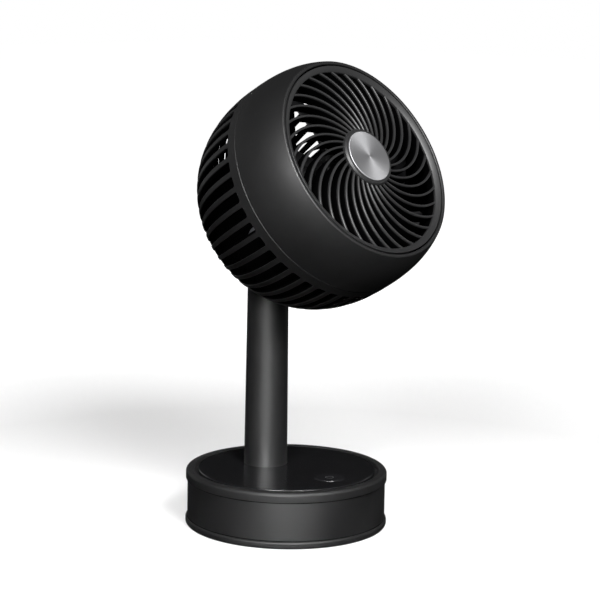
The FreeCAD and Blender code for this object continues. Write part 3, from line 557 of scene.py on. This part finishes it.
@dataclass(frozen=True)
class ShrinkWrap:
    """Thin tinted sleeve shrunk over a battery cell."""

    name: str
    colour: Colour
    shade: float = 0.8
    bright: float = 0.22
    dull: float = 0.36
    along: float = 0.15
    fold_cells: float = 160.0
    fold_detail: float = 3.0
    fold_depth: float = 0.00003

    def material(self) -> bpy.types.Material:
        """Make the finish.

        Returns:
            The node material.
        """
        bench = NodeBench(self.name)
        folds = bench.noise(self.fold_cells, self.fold_detail, Vector((self.along, 1.0, 1.0)))
        bench.tint(folds, scaled(self.colour, self.shade), self.colour)
        bench.feed(bench.spread(folds, self.bright, self.dull), "Roughness")
        bench.raise_by(folds, self.fold_depth)
        return bench.material


def round_corners(
    mesh: bmesh.types.BMesh, corners: list[bmesh.types.BMVert], radius: float, segments: int
) -> None:
    """Round corners of an outline or a flat face.

    Args:
        mesh: Mesh that holds them.
        corners: Corners to round.
        radius: How far from each corner the rounding starts.
        segments: Facets of each rounded corner.
    """
    bmesh.ops.bevel(
        mesh, geom=corners, offset=radius, offset_type="OFFSET", affect="VERTICES",
        segments=segments, profile=ROUND_PROFILE, material=-1, clamp_overlap=True,
    )


def spun(
    outline: Outline, steps: int, radius: float, closed: bool, segments: int = ROUND_SEGMENTS
) -> bmesh.types.BMesh:
    """Turn an outline about the Z axis.

    Args:
        outline: Points as (radius, height) in millimetres.
        steps: Segments of the full turn.
        radius: Radius of the outline's rounded corners, in millimetres.
        closed: Whether the outline is a closed loop, and not one that ends on the axis.
        segments: Facets of each rounded corner.

    Returns:
        The closed mesh, in millimetres.
    """
    mesh = bmesh.new()
    corners = [mesh.verts.new((out, 0.0, height)) for out, height in outline]
    for first, second in zip(corners, corners[1:]):
        mesh.edges.new((first, second))
    if closed:
        mesh.edges.new((corners[-1], corners[0]))
    round_corners(mesh, corners if closed else corners[1:-1], radius, segments)
    bmesh.ops.spin(
        mesh, geom=mesh.verts[:] + mesh.edges[:], cent=(0, 0, 0), axis=(0, 0, 1),
        angle=math.tau, steps=steps, use_merge=True,
    )
    bmesh.ops.remove_doubles(mesh, verts=mesh.verts[:], dist=MERGE_DISTANCE)
    bmesh.ops.recalc_face_normals(mesh, faces=mesh.faces[:])
    return mesh


def sweep(
    mesh: bmesh.types.BMesh, centre: Vector, axis: Vector, angle: float, steps: int
) -> None:
    """Sweep a mesh of one face about an axis and close its ends.

    Args:
        mesh: Mesh with the face, which becomes the swept form.
        centre: Point on the axis.
        axis: Direction of the axis.
        angle: Angle of the sweep in radians.
        steps: Segments of the sweep.
    """
    face = mesh.verts[:] + mesh.edges[:] + mesh.faces[:]
    bmesh.ops.spin(mesh, geom=face, cent=centre, axis=axis, angle=angle, steps=steps)
    rims = [edge for edge in mesh.edges if edge.is_boundary]
    if rims:
        bmesh.ops.holes_fill(mesh, edges=rims)


def added(target: bmesh.types.BMesh, extra: bmesh.types.BMesh) -> None:
    """Copy one mesh into another and free it.

    Args:
        target: Mesh that grows.
        extra: Mesh that is copied and freed.
    """
    carrier = bpy.data.meshes.new("carrier")
    extra.to_mesh(carrier)
    extra.free()
    target.from_mesh(carrier)
    bpy.data.meshes.remove(carrier)


def piece(
    name: str, mesh: bmesh.types.BMesh, place: Matrix, crease: float = 35.0
) -> bpy.types.Object:
    """Make an object of a mesh, with its place in the mesh.

    Args:
        name: Name of the new object.
        mesh: Mesh to keep, which is freed.
        place: Where its own coordinates lie, in metres.
        crease: Angle in degrees above which an edge stays sharp.

    Returns:
        The object, at the origin.
    """
    mesh.transform(place)
    for face in mesh.faces:
        face.smooth = True
    limit = math.radians(crease)
    for edge in mesh.edges:
        edge.smooth = edge.is_manifold and edge.calc_face_angle(0.0) < limit
    data = bpy.data.meshes.new(name)
    mesh.to_mesh(data)
    mesh.free()
    thing = bpy.data.objects.new(name, data)
    bpy.context.scene.collection.objects.link(thing)
    LOG.info("%s: %d faces", name, len(data.polygons))
    return thing


def dress(thing: bpy.types.Object, material: bpy.types.Material) -> None:
    """Give an object one material in place of what it has."""
    thing.data.materials.clear()
    thing.data.materials.append(material)


def seated(thing: bpy.types.Object, body: str, slot: str, *nodes: str) -> None:
    """Let a new piece ride a body and hide the nodes that it stands for.

    Args:
        thing: The new piece.
        body: Body that it moves with.
        slot: Name of a material slot of the record; not used.
        nodes: Nodes that it stands for, if any.
    """
    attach(thing, body)
    if nodes:
        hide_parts(*nodes)


def head_place() -> Matrix:
    """Find the head's own coordinates: +Z along its axis, drawn in millimetres.

    Returns:
        Where those coordinates lie in the fan.
    """
    spin = next(joint for joint in frame["joints"] if joint["name"] == "impeller_spin")
    axis = Vector(spin["axis"])
    turn = Matrix.Rotation(math.atan2(-axis.y, axis.z), 4, "X")
    return Matrix.Translation(Vector(spin["pos_m"])) @ turn @ Matrix.Scale(MM, 4)


@dataclass
class SwirlGrille:
    """Front grille: a dished ring, spiral vanes with rounded noses and a cup-shaped hub.

    Radii and stations along the head's axis are in millimetres, the sweep is in degrees.
    """

    place: Matrix
    back: float = 35.5
    ring_radius: float = 68.2
    ring_bore: float = 64.2
    ring_front: float = 44.8
    ring_fall: float = 2.0
    ring_skirt: float = 1.6
    ring_seat: float = 39.5
    ring_edge: float = 0.5
    ring_steps: int = 180
    hub_radius: float = 20.5
    hub_wall: float = 2.4
    hub_front: float = 47.5
    hub_chamfer: float = 1.1
    hub_edge: float = 0.28
    hub_steps: int = 96
    recess_radius: float = 17.95
    recess_floor: float = 46.6
    recess_chamfer: float = 0.3
    vane_count: int = 33
    vane_thickness: float = 1.6
    vane_nose: float = 0.68
    vane_sweep: float = 43.5
    vane_hub_front: float = 46.0
    vane_ring_front: float = 42.8
    vane_steps: int = 16

    def ring(self) -> bmesh.types.BMesh:
        """Turn the dished ring with its skirt.

        Returns:
            The ring.
        """
        skirt = self.ring_bore + self.ring_skirt
        outline = [
            (self.ring_bore, self.back),
            (skirt, self.back),
            (skirt, self.ring_seat),
            (self.ring_radius, self.ring_seat),
            (self.ring_radius, self.ring_front),
            (self.ring_bore, self.ring_front - self.ring_fall),
        ]
        return spun(outline, self.ring_steps, self.ring_edge, True)

    def hub(self) -> bmesh.types.BMesh:
        """Turn the hub's cup with the recess for the cap.

        Returns:
            The hub.
        """
        bore = self.hub_radius - self.hub_wall
        under = self.recess_floor - self.hub_wall
        outline = [
            (0.0, self.recess_floor),
            (self.recess_radius, self.recess_floor),
            (self.recess_radius, self.hub_front - self.recess_chamfer),
            (self.recess_radius + self.recess_chamfer, self.hub_front),
            (self.hub_radius - self.hub_chamfer, self.hub_front),
            (self.hub_radius, self.hub_front - self.hub_chamfer),
            (self.hub_radius, self.back),
            (bore, self.back),
            (bore, under),
            (0.0, under),
        ]
        return spun(outline, self.hub_steps, self.hub_edge, False)

    def vane(self) -> bmesh.types.BMesh:
        """Sweep one vane on the arc that its spiral follows from the hub to the ring.

        Returns:
            The vane.
        """
        start = self.hub_radius - self.hub_wall / 2
        end = self.ring_bore + self.ring_skirt / 2
        first, middle, last = (self.spiral(start, end, share) for share in (0.0, 0.5, 1.0))
        centre = self.arc_centre(first, middle, last)
        half = (first - centre).normalized() * self.vane_thickness / 2
        low = Vector((0, 0, self.back))
        high = Vector((0, 0, self.vane_hub_front))
        corners = [first - half + low, first + half + low, first + half + high, first - half + high]
        mesh = bmesh.new()
        section = mesh.faces.new([mesh.verts.new(corner) for corner in corners])
        noses = [vert for vert in section.verts if vert.co.z > self.ring_seat]
        round_corners(mesh, noses, self.vane_nose, ROUND_SEGMENTS)
        sense = math.copysign(1.0, (first - centre).cross(last - centre).z)
        angle = (first - centre).angle(last - centre)
        sweep(mesh, centre, Vector((0, 0, sense)), angle, self.vane_steps)
        self.lower(mesh)
        bmesh.ops.recalc_face_normals(mesh, faces=mesh.faces[:])
        return mesh

    def spiral(self, start: float, end: float, share: float) -> Vector:
        """Find a point of the vanes' spiral.

        Args:
            start: Radius at which the spiral starts.
            end: Radius at which it ends.
            share: Share of the way between them.

        Returns:
            The point, at height zero.
        """
        reach = share * (end - start)
        angle = math.radians(self.vane_sweep) / (end - start) * reach
        return Vector((start + reach, 0, 0)) @ Matrix.Rotation(-angle, 3, "Z")

    def lower(self, mesh: bmesh.types.BMesh) -> None:
        """Let a vane's front fall evenly from the hub to the ring.

        Args:
            mesh: Vane of even height, which is changed.
        """
        tall = self.vane_hub_front - self.back
        drop = self.vane_hub_front - self.vane_ring_front
        fall = drop / (self.ring_bore - self.hub_radius)
        for vert in mesh.verts:
            out = max(vert.co.xy.length - self.hub_radius, 0.0)
            vert.co.z = self.back + (vert.co.z - self.back) * (tall - fall * out) / tall

    @staticmethod
    def arc_centre(first: Vector, middle: Vector, last: Vector) -> Vector:
        """Find the centre of the circle through three points of the XY plane.

        Args:
            first: Start of the arc.
            middle: Point between its ends.
            last: End of the arc.

        Returns:
            The centre.
        """
        one, two = middle - first, last - middle
        across = 2 * one.cross(two).z
        gain_one = middle.xy.length_squared - first.xy.length_squared
        gain_two = last.xy.length_squared - middle.xy.length_squared
        x = (gain_one * two.y - gain_two * one.y) / across
        y = (gain_two * one.x - gain_one * two.x) / across
        return Vector((x, y, 0.0))

    def build(self, material: bpy.types.Material) -> bpy.types.Object:
        """Make the grille as one piece.

        Args:
            material: Finish of the whole moulding.

        Returns:
            The grille, riding the head.
        """
        whole = self.ring()
        added(whole, self.hub())
        vane = self.vane()
        step = Matrix.Rotation(math.tau / self.vane_count, 4, "Z")
        for _ in range(self.vane_count):
            added(whole, vane.copy())
            vane.transform(step)
        vane.free()
        grille = piece("swirl_grille", whole, self.place)
        dress(grille, material)
        seated(grille, "head", "dark_trim", "front_grille")
        return grille


@dataclass
class ButtonMark:
    """Power mark on the round key: a broken circle and a bar, a hair proud of the surface.

    Sizes are in millimetres, the gap is in degrees, and the centre is in metres.
    """

    centre: Vector
    radius: float = 2.7
    width: float = 0.5
    gap: float = 70.0
    bar_top: float = 3.5
    bar_bottom: float = 0.9
    height: float = 0.04
    sink: float = 0.1
    steps: int = 40

    def circle(self) -> bmesh.types.BMesh:
        """Sweep the broken circle.

        Returns:
            The circle, open towards +Y.
        """
        mesh = bmesh.new()
        inner, outer = self.radius - self.width / 2, self.radius + self.width / 2
        low, high = -self.sink, self.height
        corners = [(inner, 0, low), (outer, 0, low), (outer, 0, high), (inner, 0, high)]
        mesh.faces.new([mesh.verts.new(corner) for corner in corners])
        gap = math.radians(self.gap)
        mesh.transform(Matrix.Rotation(math.pi / 2 + gap / 2, 4, "Z"))
        sweep(mesh, Vector(), Vector((0, 0, 1)), math.tau - gap, self.steps)
        return mesh

    def bar(self) -> bmesh.types.BMesh:
        """Make the bar that stands in the circle's gap.

        Returns:
            The bar.
        """
        mesh = bmesh.new()
        bmesh.ops.create_cube(mesh, size=1.0)
        sides = (self.width, self.bar_top - self.bar_bottom, self.height + self.sink)
        bmesh.ops.scale(mesh, vec=sides, verts=mesh.verts[:])
        middle = (0, (self.bar_top + self.bar_bottom) / 2, (self.height - self.sink) / 2)
        bmesh.ops.translate(mesh, vec=middle, verts=mesh.verts[:])
        return mesh

    def build(self, material: bpy.types.Material) -> bpy.types.Object:
        """Make the mark as one piece.

        Args:
            material: Finish of the mark.

        Returns:
            The mark, riding the button.
        """
        whole = self.circle()
        added(whole, self.bar())
        bmesh.ops.recalc_face_normals(whole, faces=whole.faces[:])
        place = Matrix.Translation(self.centre) @ Matrix.Scale(MM, 4)
        mark = piece("power_mark", whole, place)
        dress(mark, material)
        seated(mark, "button", "gloss_black")
        return mark


@dataclass
class JointShadowRings:
    """Dark rings that paint the shadow in the drum's two joints, under the collar and on the foot,
    in millimetres.
    """

    wall: float
    foot: float
    collar: float
    foot_height: float = 0.5
    collar_height: float = 0.85
    proud: float = 0.12
    sink: float = 0.3
    edge: float = 0.04
    edge_segments: int = 1
    steps: int = 120

    def ring(self, low: float, high: float) -> bmesh.types.BMesh:
        """Turn one ring on the drum's wall.

        Args:
            low: Lower edge of the ring.
            high: Upper edge of the ring.

        Returns:
            The closed ring.
        """
        inner, outer = self.wall - self.sink, self.wall + self.proud
        outline = [(inner, low), (outer, low), (outer, high), (inner, high)]
        return spun(outline, self.steps, self.edge, True, self.edge_segments)

    def build(self, material: bpy.types.Material) -> bpy.types.Object:
        """Make both rings as one piece.

        Args:
            material: Finish of the rings.

        Returns:
            The rings, riding the base.
        """
        whole = self.ring(self.foot, self.foot + self.foot_height)
        added(whole, self.ring(self.collar - self.collar_height, self.collar))
        rings = piece("joint_shadow_rings", whole, Matrix.Scale(MM, 4))
        dress(rings, material)
        seated(rings, "base", "pad_rubber")
        return rings


@dataclass
class Finishes:
    """All finishes of the fan, by the piece that each dresses."""

    place: Matrix
    black: Colour = (0.0015, 0.0015, 0.0016)
    inner_black: Colour = (0.003, 0.003, 0.0032)

    def centre(self) -> Vector:
        """Return the point on the head's axis from which its stations count."""
        return self.place.to_translation()

    def axis(self) -> Vector:
        """Return the direction in which the head looks."""
        return (self.place.to_3x3() @ Vector((0, 0, 1))).normalized()

    def plastics(self) -> dict[str, bpy.types.Material]:
        """Make the finishes of the mouldings.

        Returns:
            The material of each moulded node.
        """
        shell = GlobeShell(
            "satin_shell", self.black, roughness=0.52, soften=0.0004, centre=self.centre(),
            axis=self.axis(),
        ).material()
        drum = MouldedPlastic("satin_drum", self.black, roughness=0.5, soften=0.0003).material()
        rim = MouldedPlastic(
            "matt_rim", self.black, roughness=0.58, soften=0.0003, uneven=0.04, specular=0.34
        ).material()
        stem = MouldedPlastic("satin_stem", self.black, roughness=0.5).material()
        panel = LacqueredPanel(
            "gloss_panel", (0.004, 0.004, 0.0043), roughness=0.2, soften=0.0004
        ).material()
        key = LacqueredPanel("gloss_key", (0.006, 0.006, 0.0065), roughness=0.16).material()
        wheel = MouldedPlastic(
            "wheel_plastic", self.inner_black, roughness=0.45, grain=Grain.POLISHED, specular=0.2
        ).material()
        inner = MouldedPlastic(
            "inner_plastic", self.inner_black, roughness=0.75, grain=Grain.MATT, specular=0.1
        ).material()
        washer = MouldedPlastic(
            "washer_plastic", (0.55, 0.53, 0.48), roughness=0.45, grain=Grain.POLISHED
        ).material()
        rubber = MouldedPlastic(
            "pad_rubber", (0.014, 0.014, 0.014), roughness=0.75, grain=Grain.MATT, uneven=0.08,
            specular=0.3,
        ).material()
        return {
            "front_shroud": shell, "rear_cage": shell, "front_grille": inner, "impeller": wheel,
            "motor_bracket": inner, "friction_washers": washer, "stem_tube": stem,
            "upper_housing": rim, "base_wall": drum, "bottom_cover": rim, "top_plate": panel,
            "power_button": key, "battery_tray": inner, "tact_switch": inner, "rubber_pad": rubber,
        }

    def metals(self) -> dict[str, bpy.types.Material]:
        """Make the finishes of the metal pieces.

        Returns:
            The material of each metal node.
        """
        steel = WorkedMetal("bright_steel", (0.56, 0.56, 0.57), roughness=0.3).material()
        can = WorkedMetal("motor_can_steel", (0.33, 0.33, 0.34), roughness=0.34).material()
        tin = WorkedMetal("port_shell", (0.62, 0.62, 0.63), roughness=0.26).material()
        bronze = WorkedMetal(
            "sintered_bronze", (0.42, 0.27, 0.12), roughness=0.42, lay=Lay.CAST
        ).material()
        alloy = WorkedMetal(
            "cast_alloy", (0.42, 0.43, 0.45), roughness=0.48, lay=Lay.CAST
        ).material()
        iron = WorkedMetal(
            "ballast_iron", (0.2, 0.19, 0.18), roughness=0.55, lay=Lay.CAST
        ).material()
        contact = WorkedMetal("contact_nickel", (0.6, 0.57, 0.5), roughness=0.28).material()
        low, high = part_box("hub_cap")
        cap = SpunMetal(
            "spun_cap", (0.4, 0.4, 0.41), roughness=0.55, anisotropy=0.35,
            centre=(low + high) / 2, axis=self.axis(),
        ).material()
        return {
            "hub_cap": cap, "motor_can": can, "motor_bushes": bronze, "motor_shaft": steel,
            "impeller_nut": steel, "head_screws": steel, "motor_screws": steel,
            "tilt_yoke": alloy, "hinge_pin": steel, "hinge_nut": steel, "stem_knuckle": alloy,
            "stem_socket": alloy, "socket_screws": steel, "ballast_plate": iron,
            "battery_contacts": contact, "board_screws": steel, "charge_screws": steel,
            "charging_port": tin, "base_screws": steel,
        }

    def electrics(self) -> dict[str, bpy.types.Material]:
        """Make the finishes of the boards and cells.

        Returns:
            The material of each of their nodes.
        """
        mask, copper = (0.01, 0.06, 0.025), (0.016, 0.085, 0.03)
        board = CircuitLaminate("board_laminate", mask, copper).material()
        sleeve = ShrinkWrap("cell_sleeve", (0.02, 0.06, 0.16)).material()
        return {"control_board": board, "charge_board": board, "battery_cells": sleeve}

    def apply(self) -> None:
        """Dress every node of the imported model."""
        chosen = {**self.plastics(), **self.metals(), **self.electrics()}
        for name, node in frame["nodes"].items():
            dress(node, chosen[name])
            LOG.info("%s: %s", name, chosen[name].name)

    def grille(self) -> bpy.types.Material:
        """Make the finish of the swirl grille.

        Returns:
            The node material.
        """
        colour = (0.007, 0.007, 0.0072)
        return GrilleFace(
            "grille_plastic", colour, roughness=0.42, centre=self.centre(), axis=self.axis()
        ).material()

    def joint(self) -> bpy.types.Material:
        """Make the finish of the dark rings that paint the shadow in the drum's joints.

        Returns:
            The node material.
        """
        # painted shadow: near-black, matt and almost glossless, standing for the shade in the
        # joints' gaps
        colour = (0.0006, 0.0006, 0.0006)
        return MouldedPlastic(
            "painted_joint_shadow", colour, roughness=0.9, grain=Grain.MATT, specular=0.05
        ).material()

    def mark(self) -> bpy.types.Material:
        """Return the finish of the button's mark."""
        colour = (0.02, 0.02, 0.021)
        return MouldedPlastic("mark_ink", colour, roughness=0.6, grain=Grain.POLISHED).material()


def heading(bearing: float, elevation: float) -> Vector:
    """Find the direction in which something stands, seen from the fan.

    Args:
        bearing: Degrees from the fan's front, positive towards +X.
        elevation: Degrees above the floor.

    Returns:
        The direction, of length 1.
    """
    turn, rise = math.radians(bearing), math.radians(elevation)
    level = math.cos(rise)
    return Vector((math.sin(turn) * level, -math.cos(turn) * level, math.sin(rise)))


@dataclass(frozen=True)
class Softbox:
    """Rectangular studio light that looks at the fan, in degrees, metres and watts.

    Its bearing is counted from the camera's own, positive towards the picture's right. A fill
    lights only the outer mouldings and shows in no gloss.
    """

    name: str
    bearing: float
    elevation: float
    width: float
    height: float
    power: float
    distance: float = 1.5
    aim: float = 0.16
    spread: float = 180.0
    fill: bool = False


@dataclass
class Studio:
    """Pale floor, soft lights and the camera at the photograph's angle.

    Angles are in degrees, lengths in metres and the camera's sensor in millimetres. The fan's
    origin shows at the given pixel of the photograph.
    """

    azimuth: float = -47.85
    elevation: float = 9.63
    roll: float = 0.99
    distance: float = 1.40183
    origin_pixel: tuple[float, float] = (285.58, 521.44)
    focal_pixels: float = 2000.0
    side_pixels: float = 600.0
    sensor: float = 36.0
    clip_start: float = 0.01
    clip_end: float = 30.0
    floor_size: float = 6.0
    floor_low: Colour = (0.33, 0.33, 0.33)
    floor_high: Colour = (0.35, 0.35, 0.35)
    floor_cells: float = 1.5
    floor_detail: float = 1.0
    floor_roughness: float = 0.9
    floor_glow: float = 0.45
    glow_start: float = 0.36
    glow_end: float = 0.8
    boxes: tuple[Softbox, ...] = (
        Softbox("key_box", bearing=24.0, elevation=36.0, width=0.5, height=0.5, power=58.0),
        Softbox("left_box", bearing=-16.0, elevation=27.0, width=0.45, height=0.45, power=36.0),
        Softbox(
            "base_box", bearing=0.0, elevation=13.0, width=0.4, height=0.25, power=0.45,
            distance=1.3, aim=0.02, spread=18.0,
        ),
        Softbox(
            "back_left_wall", bearing=-128.0, elevation=11.0, width=1.4, height=0.5, power=1.2
        ),
        Softbox(
            "back_right_wall", bearing=118.0, elevation=13.0, width=1.2, height=0.6, power=1.2
        ),
        Softbox(
            "back_fill", bearing=180.0, elevation=4.0, width=1.0, height=0.6, power=230.0,
            fill=True,
        ),
    )
    filled: tuple[str, ...] = (
        "front_shroud", "rear_cage", "stem_tube", "upper_housing", "base_wall", "bottom_cover",
        "charging_port",
    )

    def camera(self) -> None:
        """Place the camera where the photograph was taken from."""
        back = heading(self.azimuth, self.elevation)
        bearing, roll = math.radians(self.azimuth), math.radians(self.roll)
        level = Vector((math.cos(bearing), math.sin(bearing), 0.0))
        steep = back.cross(level)
        right = math.cos(roll) * level + math.sin(roll) * steep
        up = math.cos(roll) * steep - math.sin(roll) * level
        half = self.side_pixels / 2
        pixel = self.distance / self.focal_pixels
        shift = right * (self.origin_pixel[0] - half) + up * (half - self.origin_pixel[1])
        data = bpy.data.cameras.new("photo_camera")
        data.sensor_width = self.sensor
        data.lens = self.focal_pixels * self.sensor / self.side_pixels
        data.clip_start, data.clip_end = self.clip_start, self.clip_end
        camera = bpy.data.objects.new("photo_camera", data)
        bpy.context.scene.collection.objects.link(camera)
        turn = Matrix((right, up, back)).transposed().to_4x4()
        camera.matrix_world = Matrix.Translation(back * self.distance - shift * pixel) @ turn
        bpy.context.scene.camera = camera

    def floor(self) -> None:
        """Lay a pale floor that glows into the white room and sends no light to the fan."""
        mesh = bmesh.new()
        bmesh.ops.create_grid(mesh, x_segments=2, y_segments=2, size=self.floor_size)
        floor = piece("floor", mesh, Matrix.Identity(4))
        bench = NodeBench("floor_paper")
        paper = bench.noise(self.floor_cells, self.floor_detail)
        bench.tint(paper, self.floor_low, self.floor_high)
        bench.set(
            Roughness=self.floor_roughness, Specular_IOR_Level=0.0,
            Emission_Color=(1.0, 1.0, 1.0, 1.0),
        )
        reach = bench.vector("DISTANCE", bench.point, Vector()).outputs["Value"]
        glow = bench.remap(
            reach, From_Min=self.glow_start, From_Max=self.glow_end, To_Min=self.floor_glow,
            To_Max=1.0,
        )
        bench.feed(glow, "Emission Strength")
        dress(floor, bench.material)
        floor.visible_glossy = False
        floor.visible_diffuse = False

    def lights(self) -> None:
        """Hang the softboxes."""
        outside = bpy.data.collections.new("outside")
        for name in self.filled:
            outside.objects.link(frame["nodes"][name])
        for box in self.boxes:
            way = heading(self.azimuth + box.bearing, box.elevation)
            data = bpy.data.lights.new(box.name, "AREA")
            data.shape = "RECTANGLE"
            data.size, data.size_y = box.width, box.height
            data.energy = box.power
            data.spread = math.radians(box.spread)
            lamp = bpy.data.objects.new(box.name, data)
            bpy.context.scene.collection.objects.link(lamp)
            turn = way.to_track_quat("Z", "Y").to_matrix().to_4x4()
            aim = Vector((0.0, 0.0, box.aim))
            lamp.matrix_world = Matrix.Translation(aim + way * box.distance) @ turn
            if box.fill:
                lamp.visible_glossy = False
                lamp.light_linking.receiver_collection = outside
            LOG.info("%s: %.2f W", box.name, box.power)

    def room(self) -> None:
        """Fill the room with a plain white world that the camera sees and that lights nothing."""
        world = bpy.data.worlds.new("white_room")
        world.use_nodes = True
        backdrop = world.node_tree.nodes["Background"]
        backdrop.inputs["Color"].default_value = (1.0, 1.0, 1.0, 1.0)
        backdrop.inputs["Strength"].default_value = 1.0
        bpy.context.scene.world = world
        world.cycles_visibility.glossy = False
        world.cycles_visibility.diffuse = False

    def build(self) -> None:
        """Set up the whole studio."""
        self.camera()
        self.floor()
        self.lights()
        self.room()
        bpy.context.scene.view_settings.view_transform = "Standard"


def main() -> None:
    """Dress the fan, add its fine pieces and set up the studio."""
    logging.basicConfig(level=logging.INFO, format="%(name)s %(message)s")
    place = head_place()
    finishes = Finishes(place)
    finishes.apply()
    SwirlGrille(place).build(finishes.grille())
    low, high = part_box("power_button")
    top = Vector(((low.x + high.x) / 2, (low.y + high.y) / 2, high.z))
    ButtonMark(top).build(finishes.mark())
    # thin dark rings that paint the shadow under the collar and over the foot
    low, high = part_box("base_wall")
    rings = JointShadowRings((high.x - low.x) / 2 / MM, low.z / MM, high.z / MM)
    rings.build(finishes.joint())
    Studio().build()


if __name__ == "__main__":
    main()
